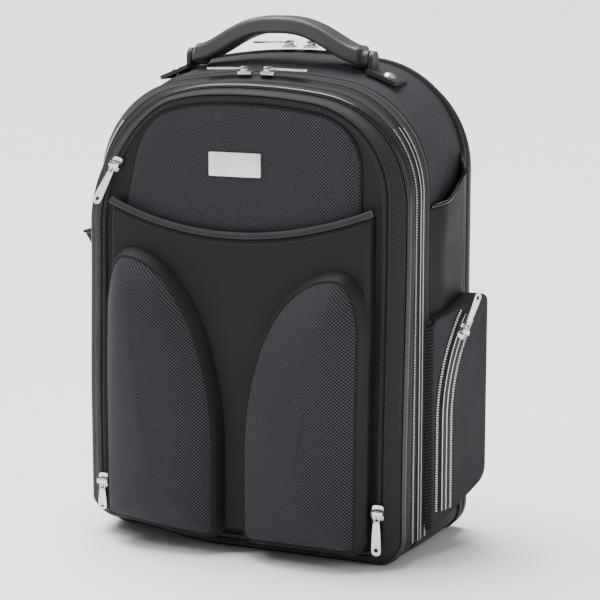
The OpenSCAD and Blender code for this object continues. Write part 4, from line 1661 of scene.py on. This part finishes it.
@dataclass
class Handle:
    """The moulded carry handle and its rivets' heads.

    Attributes:
        y: Depth of its middle.
        pivot: Height of its pins.
        rise: Height of its arch above the pins.
        half: Half its span.
        width: Its depth from front to rear.
        low: Underside, below its line.
        high: Top, above its line.
    """

    y: float = 9.0
    pivot: float = 438.5
    rise: float = 26.0
    half: float = 81.0
    width: float = 30.0
    low: float = -4.0
    high: float = 12.0

    def line(self, x: float) -> float:
        """Height of the grip's line at a place along it."""
        return self.pivot + self.rise * (0.5 + 0.5 * math.cos(math.pi * min(1.0, (abs(x) / self.half) ** 1.35)))

    def section(self) -> list[Point2]:
        """The grip's section: flat below, crowned above, with a mould line near each edge."""
        w = self.width / 2
        mid = (self.high + self.low) / 2
        points: list[Point2] = [(-w + 4, self.low), (w - 4, self.low)]
        points += arc((w - 4, self.low + 4), 4, -90, 0, 5)[1:]
        points += [(w, mid)]
        points += arc((w - 4.5, self.high - 5.5), 4.5, 0, 60, 5)
        points += [(w - 3.3, self.high - 1.9), (w - 3.9, self.high - 1.8), (w - 4.6, self.high - 0.9)]
        points += [(w * 0.45, self.high - 0.25), (0.0, self.high)]
        mirror = [(-a, b) for a, b in reversed(points[2:-1])]
        return points + mirror

    def build(self) -> None:
        """Build the grip, its end barrels, and the rivets' heads."""
        section = self.section()
        rows = []
        steps = 72
        for i in range(steps + 1):
            x = lerp(-self.half + 1, self.half - 1, i / steps)
            slope = Vector((1, 0, self.line(x + 0.5) - self.line(x - 0.5))).normalized()
            normal = Vector((-slope.z, 0, slope.x))
            rows.append([Vector((x, self.y + u, self.line(x))) + normal * h for u, h in section])
        bm = bmesh.new()
        lay_sheet(bm, rows, closed=True)
        cap_rows(bm, rows[0])
        cap_rows(bm, rows[-1], flip=True)
        for side in (-1, 1):
            turn = Matrix.Translation(Vector((side * self.half, self.y, self.pivot)) * MM) @ \
                Matrix.Rotation(math.radians(90), 4, "Y")
            made = bmesh.ops.create_cone(bm, cap_ends=True, segments=40, radius1=7.9 * MM, radius2=7.9 * MM,
                                         depth=13 * MM, matrix=turn)
            rims = {e for v in made["verts"] for e in v.link_edges if len(e.link_faces) == 2
                    and e.calc_face_angle() > 1}
            bmesh.ops.bevel(bm, geom=list(rims), offset=0.9 * MM, affect="EDGES", segments=3, profile=0.5,
                            material=-1)
        Piece("grip", "handle", GRIP, ("handle_grip",), "handle_rubber", angle=35).finish_mesh(bm)
        bm = bmesh.new()
        low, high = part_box("handle_rivets")
        for side in (-1, 1):
            lean = math.radians(22) * side
            foot = Vector((side * (88.5 + 18 * math.cos(lean)), self.y, 428.5 - 18 * math.sin(abs(lean))))
            turn = Matrix.Rotation(lean, 4, "Y")
            up = turn @ Vector((0, 0, 1))
            place = foot + up * 3.2
            dome = bmesh.ops.create_uvsphere(bm, u_segments=36, v_segments=18, radius=5.2 * MM)["verts"]
            for vert in dome:
                flat = 0.46 if vert.co.z > 0 else 0.12
                vert.co = Vector((vert.co.x, vert.co.y, vert.co.z * flat))
                vert.co = turn @ vert.co + place * MM
        Piece("rivet_heads", "main_body", RIVET, slot="rivet_metal").finish_mesh(bm)


# ------------------------------------------------------------ back and straps


@dataclass
class BackPads:
    """The padded back: panel, three mesh pads, yoke, lower anchors and webbing.

    Attributes:
        shape: The bag's shape.
        pad_y: Depth that the pads stand on.
        pad_t: Thickness of the pads.
    """

    shape: BagShape
    pad_y: float = 66.2
    pad_t: float = 13.0

    def block(self, bm: bmesh.types.BMesh, x0: float, x1: float, z0: float, z1: float, corner: float,
              depth: float, edge: float, wave: float = 0.3) -> None:
        """Lay one rounded, crowned pad that faces the wearer.

        Args:
            bm: The mesh that gets the pad.
            x0: Left edge.
            x1: Right edge.
            z0: Foot.
            z1: Top.
            corner: Radius of its corners.
            depth: Thickness at its crown.
            edge: Thickness at its edge.
            wave: Height of the cloth's unevenness.
        """
        points: list[Point2] = []
        for cx, cz, start in ((x1 - corner, z0 + corner, -90), (x1 - corner, z1 - corner, 0),
                              (x0 + corner, z1 - corner, 90), (x0 + corner, z0 + corner, 180)):
            points += arc((cx, cz), corner, start, start + 90, 8)
        ring = resample(points, 180, True)
        mx, mz = (x0 + x1) / 2, (z0 + z1) / 2
        reach = min(x1 - x0, z1 - z0) / 2
        if x1 - x0 > z1 - z0:
            spine = ((x0 + reach, mz), (x1 - reach, mz))
        else:
            spine = ((mx, z0 + reach), (mx, z1 - reach))
        profile = crowned(edge, depth, 14, 0.97, 3.2)
        puff(bm, ring, spine, profile, lambda x, z, h: Vector((x, self.pad_y + h, z)), wave)

    def build(self) -> None:
        """Build the panel, pads, yoke, anchors and webbing."""
        y = self.shape.back_y
        outline = self.shape.outline(y, -4.2)
        bm = bmesh.new()
        profile = [(0.0, 3.5), (0.001, 0.6), (0.02, 0.1)] + [(0.02 + 0.93 * i / 14, 0.0) for i in range(1, 15)]
        puff(bm, outline.ring(300), ((0.0, 150.0), (0.0, 300.0)), profile,
             lambda x, z, h: Vector((x, y - max(0.0, h), z)), 0.3)
        map_flat(bm)
        obj = Piece("back_cloth", "rear_section", NYLON, ("back_panel",), "nylon_fabric").finish_mesh(bm)
        point_faces(obj, -FORWARD)
        add_wall(obj, 3.0)
        bm = bmesh.new()
        for side in (-1, 1):
            self.block(bm, side * 68 - 52, side * 68 + 52, 122, 358, 24, self.pad_t, 5.5, 0.5)
        self.block(bm, -120, 120, 40, 114, 24, self.pad_t, 5.5, 0.5)
        map_flat(bm)
        Piece("back_mesh_pads", "rear_section", AIR_MESH, ("back_pads",), "woven_fabric", fill=0.6).finish_mesh(bm)
        bm = bmesh.new()
        self.block(bm, -75, 75, 376.5, 411.5, 8, 3.9, 2.4, 0.1)
        for side in (-1, 1):
            x0, x1 = sorted((side * 104.0, side * 142.0))
            self.block(bm, x0, x1, 24, 38.5, 4, 12.0, 9.0, 0.1)
        map_flat(bm)
        Piece("strap_yoke_patches", "rear_section", NYLON, ("strap_anchors",), "webbing").finish_mesh(bm)
        tracks = []
        for z in (380.5, 407.5):
            line = [Vector((x, self.pad_y + 4.0, z)) for x in range(-70, 71, 4)]
            tracks.append(Track(line, [Vector((0, 1, 0))] * len(line)))
        for a, b in (((-70, 380.5), (-40, 407.5)), ((-70, 407.5), (-40, 380.5)),
                     ((40, 380.5), (70, 407.5)), ((40, 407.5), (70, 380.5))):
            line = [Vector((lerp(a[0], b[0], i / 12), self.pad_y + 4.0, lerp(a[1], b[1], i / 12)))
                    for i in range(13)]
            tracks.append(Track(line, [Vector((0, 1, 0))] * len(line)))
        seam("strap_yoke_stitches", "rear_section", tracks)
        self.build_webbing()

    def build_webbing(self) -> None:
        """Build the two lower webbing straps."""
        bm = bmesh.new()
        for side in (-1, 1):
            rows = []
            for i in range(33):
                t = i / 32
                x = lerp(92.0, 122.0, t)
                z = lerp(131.0, 33.0, t)
                y = table(t, [(0.0, 85.4), (0.24, 85.2), (0.8, 82.8), (1.0, 79.2)])
                y += 0.7 * math.sin(math.pi * t * 3) * (1 - t)
                across = Vector((98, 0, 30)).normalized()
                middle = Vector((x, y, z))
                rows.append([Vector((side * p.x, p.y, p.z)) for p in
                             (middle + across * (12.5 * s / 4) for s in range(-4, 5))])
            lay_sheet(bm, rows)
        obj = Piece("strap_lower_webbing", "rear_section", WEBBING, ("strap_webbing",), "webbing").finish_mesh(bm)
        point_faces(obj, -FORWARD)
        add_wall(obj, 1.6)


@dataclass
class ShoulderStrap:
    """A padded shoulder strap that tapers to its ladder lock.

    Attributes:
        side: 1 for the right strap, -1 for the left.
        y: Depth of its middle.
        thick: Its thickness.
        width: Its width at the shoulder.
    """

    side: int
    y: float = 86.2
    thick: float = 12.0
    width: float = 62.0

    def path(self) -> list[tuple[Vector, float]]:
        """Middle line of the strap and its width at each place."""
        flat = [(40.0, 396.0), (42.0, 386.0), (50.0, 350.0), (64.0, 310.0), (79.0, 265.0), (90.0, 220.0),
                (94.0, 180.0), (92.0, 138.0)]
        line = resample(flat, 54, False)
        for _ in range(6):
            line = [line[0]] + [((a[0] + 2 * b[0] + c[0]) / 4, (a[1] + 2 * b[1] + c[1]) / 4)
                                for a, b, c in zip(line, line[1:], line[2:])] + [line[-1]]
        result = []
        for x, z in line:
            y = self.y - 8.5 * smooth(382, 396, z)
            width = table(z, [(138, 34.0), (165, 44.0), (230, 58.0), (300, self.width), (386, self.width - 4),
                              (396, self.width - 10)])
            result.append((Vector((self.side * x, y, z)), width))
        return result

    def build(self) -> None:
        """Build the padded strap, its edge binding and its stitching."""
        name = "right" if self.side > 0 else "left"
        body = f"strap_{name}"
        path = self.path()
        last = len(path) - 1
        rows, left_edge, right_edge, inner_left, inner_right = [], [], [], [], []
        for k, (p, width) in enumerate(path):
            along = (path[min(last, k + 1)][0] - path[max(0, k - 1)][0])
            along.y = 0
            along.normalize()
            across = along.cross(Vector((0, 1, 0))).normalized()
            thick = self.thick * (1.0 - 0.35 * smooth(last - 4, last, k)) * (1 - 0.45 * smooth(5, 0, k))
            row = []
            for s in range(28):
                a = 2 * math.pi * s / 28
                c, d = math.cos(a), math.sin(a)
                u = math.copysign(abs(c) ** 0.55, c) * width / 2
                v = math.copysign(abs(d) ** 0.75, d) * thick / 2
                row.append(p + across * u + Vector((0, v + ripple(p + across * u, 20, 0.4), 0)))
            rows.append(row)
            left_edge.append(p - across * (width / 2 + 0.4))
            right_edge.append(p + across * (width / 2 + 0.4))
            inner_left.append(p - across * (width / 2 - 8) + Vector((0, thick / 2 - 0.2, 0)))
            inner_right.append(p + across * (width / 2 - 8) + Vector((0, thick / 2 - 0.2, 0)))
        bm = bmesh.new()
        lay_sheet(bm, rows, closed=True)
        cap_rows(bm, rows[0])
        cap_rows(bm, rows[-1], flip=True)
        Piece(f"strap_pad_{name}", body, NYLON, (f"shoulder_strap_{name}",), "strap_fabric",
              fill=0.7).finish_mesh(bm)
        bm = bmesh.new()
        for edge in (left_edge, right_edge):
            cord_mesh(bm, Track(edge, [Vector((0, 1, 0))] * len(edge)), 1.6, False, sides=8)
        Piece(f"strap_binding_{name}", body, BINDING, slot="strap_fabric").finish_mesh(bm)
        seam(f"strap_stitches_{name}", body,
             [Track(line, [Vector((0, 1, 0))] * len(line)) for line in (inner_left, inner_right)],
             slot="strap_fabric")


# ------------------------------------------------------------------- linings


@dataclass
class Linings:
    """Cloth panels inside the bag, which show when it is opened."""

    shape: BagShape

    def panel(self, name: str, body: str, node: str, y: float, grow: float, foot: float, thick: float) -> None:
        """Hang one lining panel across the bag.

        Args:
            name: The piece's name.
            body: The body that it moves with.
            node: The CAD node that it stands for.
            y: Depth of its middle.
            grow: Growth of the bag's outline at its edge.
            foot: Lowest height.
            thick: Thickness in millimetres.
        """
        ring = [(x, max(foot, z)) for x, z in self.shape.outline(y, grow).ring(220)]
        profile = [(0.95 * i / 16, 0.0) for i in range(17)]
        bm = bmesh.new()
        puff(bm, ring, ((0.0, 150.0), (0.0, 280.0)), profile, lambda x, z, h: Vector((x, y - thick / 2 + h, z)),
             0.5)
        map_flat(bm)
        obj = Piece(name, body, LINING, (node,), "lining_fabric").finish_mesh(bm)
        point_faces(obj, FORWARD)
        outline = self.shape.outline(y, grow)
        add_wall(obj, thick)

    def build(self) -> None:
        """Build the divider, the front lining, the sleeve and the base."""
        self.panel("divider_cloth", "main_body", "divider_panel", 28.0, -4.4, 6.4, 3.0)
        self.panel("front_lining_cloth", "front_section", "front_lining", -51.0, -5.2, 12.0, 1.6)
        low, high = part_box("laptop_sleeve")
        grid = []
        for j in range(25):
            z = lerp(low.z, high.z, j / 24) / MM
            row = []
            for i in range(41):
                x = lerp(low.x, high.x, i / 40) / MM
                row.append(Vector((x, low.y / MM + 0.4 + ripple(Vector((x, 7, z)), 40, 0.3), z)))
            grid.append(row)
        bm = bmesh.new()
        lay_sheet(bm, grid)
        obj = Piece("laptop_sleeve_cloth", "rear_section", LINING, ("laptop_sleeve",), "lining_fabric").finish_mesh(bm)
        point_faces(obj, FORWARD)
        add_wall(obj, 1.2)
        low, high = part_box("base_panel")
        grid = []
        for j in range(17):
            y = lerp(low.y, high.y, j / 16) / MM
            grid.append([Vector((lerp(low.x, high.x, i / 40) / MM, y, 0.0)) for i in range(41)])
        bm = bmesh.new()
        lay_sheet(bm, grid)
        obj = Piece("base_cloth", "main_body", NYLON, ("base_panel",), "nylon_fabric").finish_mesh(bm)
        point_faces(obj, Vector((0, 0, -1)))
        add_wall(obj, 1.9)


# ---------------------------------------------------------------- zip sliders


@dataclass
class ZipSlider:
    """A zip slider and its puller, placed by the joint that the puller turns on.

    Attributes:
        name: Start of its nodes' names, such as "main".
        which: End of its nodes' names, such as "left".
        pin_out: Height of the pin above the zip.
        length: Length of the puller below its pin.
    """

    name: str
    which: str
    pin_out: float = 5.4
    length: float = 38.0

    def matrix(self) -> Matrix:
        """Work out the slider's place: X along the pin, Y into the bag, Z up the puller."""
        joint = next(j for j in frame["joints"] if j["name"] == f"{self.name}_puller_{self.which}_flip")
        pin = Vector(joint["pos_m"])
        axis = Vector(joint["axis"]).normalized()
        offsets = [vert.co - pin for vert in frame["nodes"][f"{self.name}_puller_{self.which}"].data.vertices]
        reach = max(offset.length for offset in offsets) - 4 * MM
        hang = sum((offset for offset in offsets if offset.length > reach), Vector())
        hang -= axis * hang.dot(axis)
        up = -hang.normalized()
        low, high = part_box(f"{self.name}_slider_{self.which}")
        inward = up.cross(axis)
        if inward.dot((low + high) / 2 - pin) < 0:
            inward = -inward
        across = inward.cross(up)
        turn = Matrix((across, inward, up)).transposed().to_4x4()
        return Matrix.Translation(pin + inward * (self.pin_out * MM)) @ turn

    def block(self, bm: bmesh.types.BMesh, centre: tuple[float, float, float], size: tuple[float, float, float],
              offset: float, segments: int = 2) -> None:
        """Add a block with rounded edges, in the slider's own directions.

        Args:
            bm: The mesh that gets it.
            centre: Its middle.
            size: Its size.
            offset: Radius of its edges.
            segments: Steps round each edge.
        """
        made = bmesh.ops.create_cube(bm, size=MM, matrix=Matrix.Translation(Vector(centre) * MM) @
                                     Matrix.Diagonal((*size, 1.0)))["verts"]
        edges = {e for v in made for e in v.link_edges}
        bmesh.ops.bevel(bm, geom=list(edges), offset=offset * MM, affect="EDGES", segments=segments, profile=0.5,
                        material=-1)

    def slider(self) -> bmesh.types.BMesh:
        """Build the slider: two waisted plates, a neck, and the bridge that holds the pin."""
        bm = bmesh.new()
        for y in (-0.75, -2.1):
            made = bmesh.ops.create_cube(bm, size=MM, matrix=Matrix.Translation(Vector((0, y, 0)) * MM) @
                                         Matrix.Diagonal((10.6, 1.0, 13.6, 1.0)))["verts"]
            ends = list({e for v in made for e in v.link_edges if abs((e.verts[0].co - e.verts[1].co).y) > 0.5 * MM})
            bmesh.ops.bevel(bm, geom=ends, offset=2.6 * MM, affect="EDGES", segments=4, profile=0.5, material=-1)
        self.block(bm, (0, -1.4, 3.2), (4.4, 1.4, 4.0), 0.4)
        for x in (-1, 1):
            self.block(bm, (x * 4.5, -4.4, 0), (1.9, 4.8, 4.8), 0.6)
        bmesh.ops.create_cone(bm, cap_ends=True, segments=20, radius1=1.15 * MM, radius2=1.15 * MM, depth=9 * MM,
                              matrix=Matrix.Translation((0, -5.4 * MM, 0)) @ Matrix.Rotation(math.pi / 2, 4, "Y"))
        self.block(bm, (0, -6.7, 0), (9.4, 0.9, 4.4), 0.3)
        return bm

    def puller(self) -> bmesh.types.BMesh:
        """Build the puller: a square link round the pin and a bar that widens to a pierced round end."""
        bm = bmesh.new()
        y, t = -self.pin_out, 1.6
        self.block(bm, (0, y, 2.1), (5.6, 1.7, 1.4), 0.35)
        for x in (-1, 1):
            self.block(bm, (x * 2.35, y, -2.6), (1.2, 1.7, 9.0), 0.35)
        self.block(bm, (0, y, -7.4), (5.8, 1.8, 1.6), 0.35)
        outer, inner = [], []
        count = 48
        low = -self.length + 5.2
        for k in range(count):
            a = 2 * math.pi * k / count
            dx, dz = math.sin(a), -math.cos(a)
            if dz > 0.25:
                z = -8.4
                x = dx / max(dz, 0.001) * 3.2
                x = max(-3.0, min(3.0, x))
            else:
                s = smooth(-0.6, 0.25, dz)
                z = lerp(low + dz * 5.0, -8.4, s)
                x = math.copysign(lerp(abs(dx) * 5.0, 3.0, s), dx)
            outer.append(Vector((x, y - t / 2, z)) * MM)
            inner.append(Vector((dx * 1.9, y - t / 2, low + dz * 1.9)) * MM)
        rings = []
        for points in (outer, inner):
            verts = [bm.verts.new(p) for p in points]
            rings.append([bm.edges.new((verts[k], verts[(k + 1) % count])) for k in range(count)])
        faces = bmesh.ops.bridge_loops(bm, edges=rings[0] + rings[1])["faces"]
        back = bmesh.ops.extrude_face_region(bm, geom=faces)["geom"]
        bmesh.ops.translate(bm, vec=(0, t * MM, 0), verts=[v for v in back if isinstance(v, bmesh.types.BMVert)])
        return bm

    def build(self) -> None:
        """Build and place the slider and its puller."""
        place = self.matrix()
        for part, bm in (("slider", self.slider()), ("puller", self.puller())):
            node = f"{self.name}_{part}_{self.which}"
            bmesh.ops.transform(bm, matrix=place, verts=bm.verts)
            Piece(f"{node}_metal", node, NICKEL, (node,), "zip_metal", angle=35).finish_mesh(bm, merge=0.001)


# --------------------------------------------------------------------- studio


@dataclass
class Studio:
    """Pale floor, soft lights and the camera.

    Attributes:
        eye: Where the camera stands.
        target: Where it looks.
        lens: Its lens.
    """

    eye: tuple[float, float, float] = (0.7596, -1.6463, 0.5303)
    target: tuple[float, float, float] = (0.0228, 0.0, 0.2181)
    lens: float = 119.7
    sky_light: float = 0.3
    sky_seen: float = 2.2

    def floor(self) -> None:
        """Lay the pale floor."""
        material, tree = new_material("studio_paper")
        place = add_node(tree, "TexCoord").outputs["Object"]
        grain = add_node(tree, "TexNoise", Vector=place, Scale=220.0)
        tone = add_node(tree, "MapRange", Value=grain.outputs["Fac"], in3=0.93, in4=0.95)
        shade = add_node(tree, "CombineColor", in0=tone.outputs[0], in1=tone.outputs[0], in2=tone.outputs[0])
        shader = add_node(tree, "BsdfPrincipled", Base_Color=shade.outputs[0], Roughness=0.9)
        add_node(tree, "OutputMaterial", Surface=shader.outputs[0])
        bm = bmesh.new()
        bmesh.ops.create_grid(bm, x_segments=8, y_segments=8, size=14.0)
        mesh = bpy.data.meshes.new("studio_floor")
        bm.to_mesh(mesh)
        bm.free()
        obj = bpy.data.objects.new("studio_floor", mesh)
        bpy.context.scene.collection.objects.link(obj)
        mesh.materials.append(material)
        obj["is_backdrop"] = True

    def light(self, name: str, place: tuple[float, float, float], size: float, power: float) -> None:
        """Hang one soft square light that faces the bag.

        Args:
            name: The light's name.
            place: Where it hangs.
            size: Its side in metres.
            power: Its power in watts.
        """
        data = bpy.data.lights.new(name, "AREA")
        data.shape, data.size, data.energy = "SQUARE", size, power
        obj = bpy.data.objects.new(name, data)
        obj.location = place
        obj.rotation_euler = (Vector((0, 0, 0.22)) - Vector(place)).to_track_quat("-Z", "Y").to_euler()
        bpy.context.scene.collection.objects.link(obj)

    def sun(self, name: str, towards: tuple[float, float, float], spread: float, strength: float) -> None:
        """Hang one even overhead light that reaches the whole floor.

        Args:
            name: The light's name.
            towards: The direction that it shines in.
            spread: How wide its source looks, in degrees.
            strength: Its strength.
        """
        data = bpy.data.lights.new(name, "SUN")
        data.angle, data.energy = math.radians(spread), strength
        obj = bpy.data.objects.new(name, data)
        obj.rotation_euler = Vector(towards).to_track_quat("-Z", "Y").to_euler()
        bpy.context.scene.collection.objects.link(obj)

    def build(self) -> None:
        """Set up the floor, the lights, the sky and the camera."""
        self.floor()
        self.light("key_left", (-0.8, -0.7, 1.2), 0.5, 7.0)
        self.light("fill_right", (1.9, -0.7, 1.1), 1.2, 14)
        self.sun("sky_panel", (0.28, -0.12, -1.0), 45.0, 7.5)
        world = bpy.data.worlds.new("studio_sky")
        world.use_nodes = True
        tree = world.node_tree
        tree.nodes.clear()
        seen = add_node(tree, "LightPath").outputs["Is Camera Ray"]
        strength = add_node(tree, "MapRange", Value=seen, in3=self.sky_light, in4=self.sky_seen)
        sky = add_node(tree, "Background", Color=(1.0, 1.0, 1.0, 1.0), Strength=strength.outputs[0])
        add_node(tree, "OutputWorld", Surface=sky.outputs[0])
        bpy.context.scene.world = world
        data = bpy.data.cameras.new("studio_camera")
        data.lens, data.sensor_width = self.lens, 36.0
        camera = bpy.data.objects.new("studio_camera", data)
        camera.location = self.eye
        camera.rotation_euler = (Vector(self.target) - Vector(self.eye)).to_track_quat("-Z", "Y").to_euler()
        bpy.context.scene.collection.objects.link(camera)
        bpy.context.scene.camera = camera


def dress_nodes() -> None:
    """Give the CAD parts that stay in view their finishes."""
    finishes = {"base_board": BOARD, "handle_tabs": CHAPE, "rivet_washers": RIVET, "handle_rivets": RIVET,
                "handle_core": RIVET, "ladder_lock_left": BUCKLE, "ladder_lock_right": BUCKLE}
    for node, finish in finishes.items():
        mesh = frame["nodes"][node].data
        mesh.materials.clear()
        mesh.materials.append(FINISHES.get(finish))
        LOG.info("%s: %s", node, finish.name)


def corners(bounds: Iterable) -> list:
    """Turn a box into plain lists of numbers."""
    return [[float(value) for value in corner] for corner in bounds]


def main() -> None:
    """Build every part of the bag."""
    logging.basicConfig(level=logging.INFO, format="%(message)s")
    Studio().build()
    shape = BagShape.from_frame()
    LOG.info("shape: %s", shape)
    Gussets(shape).build()
    BagZip(shape, "main_zip", shape.zip_y, (shape.zip_front_y, shape.zip_rear_y), ("front_section", "main_body"),
           ("main_zip_front_half", "main_zip_rear_half"), True, True).build()
    BagZip(shape, "rear_zip", shape.rear_zip_y, (shape.gusset_end_y, shape.rear_gusset_y),
           ("main_body", "rear_section"), ("rear_zip_front_half", "rear_zip_rear_half"), False, False).build()
    Piping(shape, "front_cord", "front_section", "front_piping", shape.front_y - 2.7, -1.0).build()
    Piping(shape, "rear_cord", "rear_section", "rear_piping", shape.back_y + 2.7, -2.8).build()
    FrontFace(shape).build()
    DocumentPocket().build()
    for side, apex in ((1, (100.0, 256.0)), (-1, (106.0, 266.0))):
        HeadsetPocket(side, apex).build()
        ShoulderStrap(side).build()
    Flanks(shape).build()
    Handle().build()
    BackPads(shape).build()
    Linings(shape).build()
    for name, sides in (("main", ("left", "right")), ("rear", ("left", "right")),
                        ("organizer", ("top", "right", "left")), ("side", ("right", "left"))):
        for which in sides:
            ZipSlider(name, which).build()
    dress_nodes()


if __name__ == "__main__":
    main()
    {"cad": corners(CAD_BOUNDS), "visual": corners(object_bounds())}
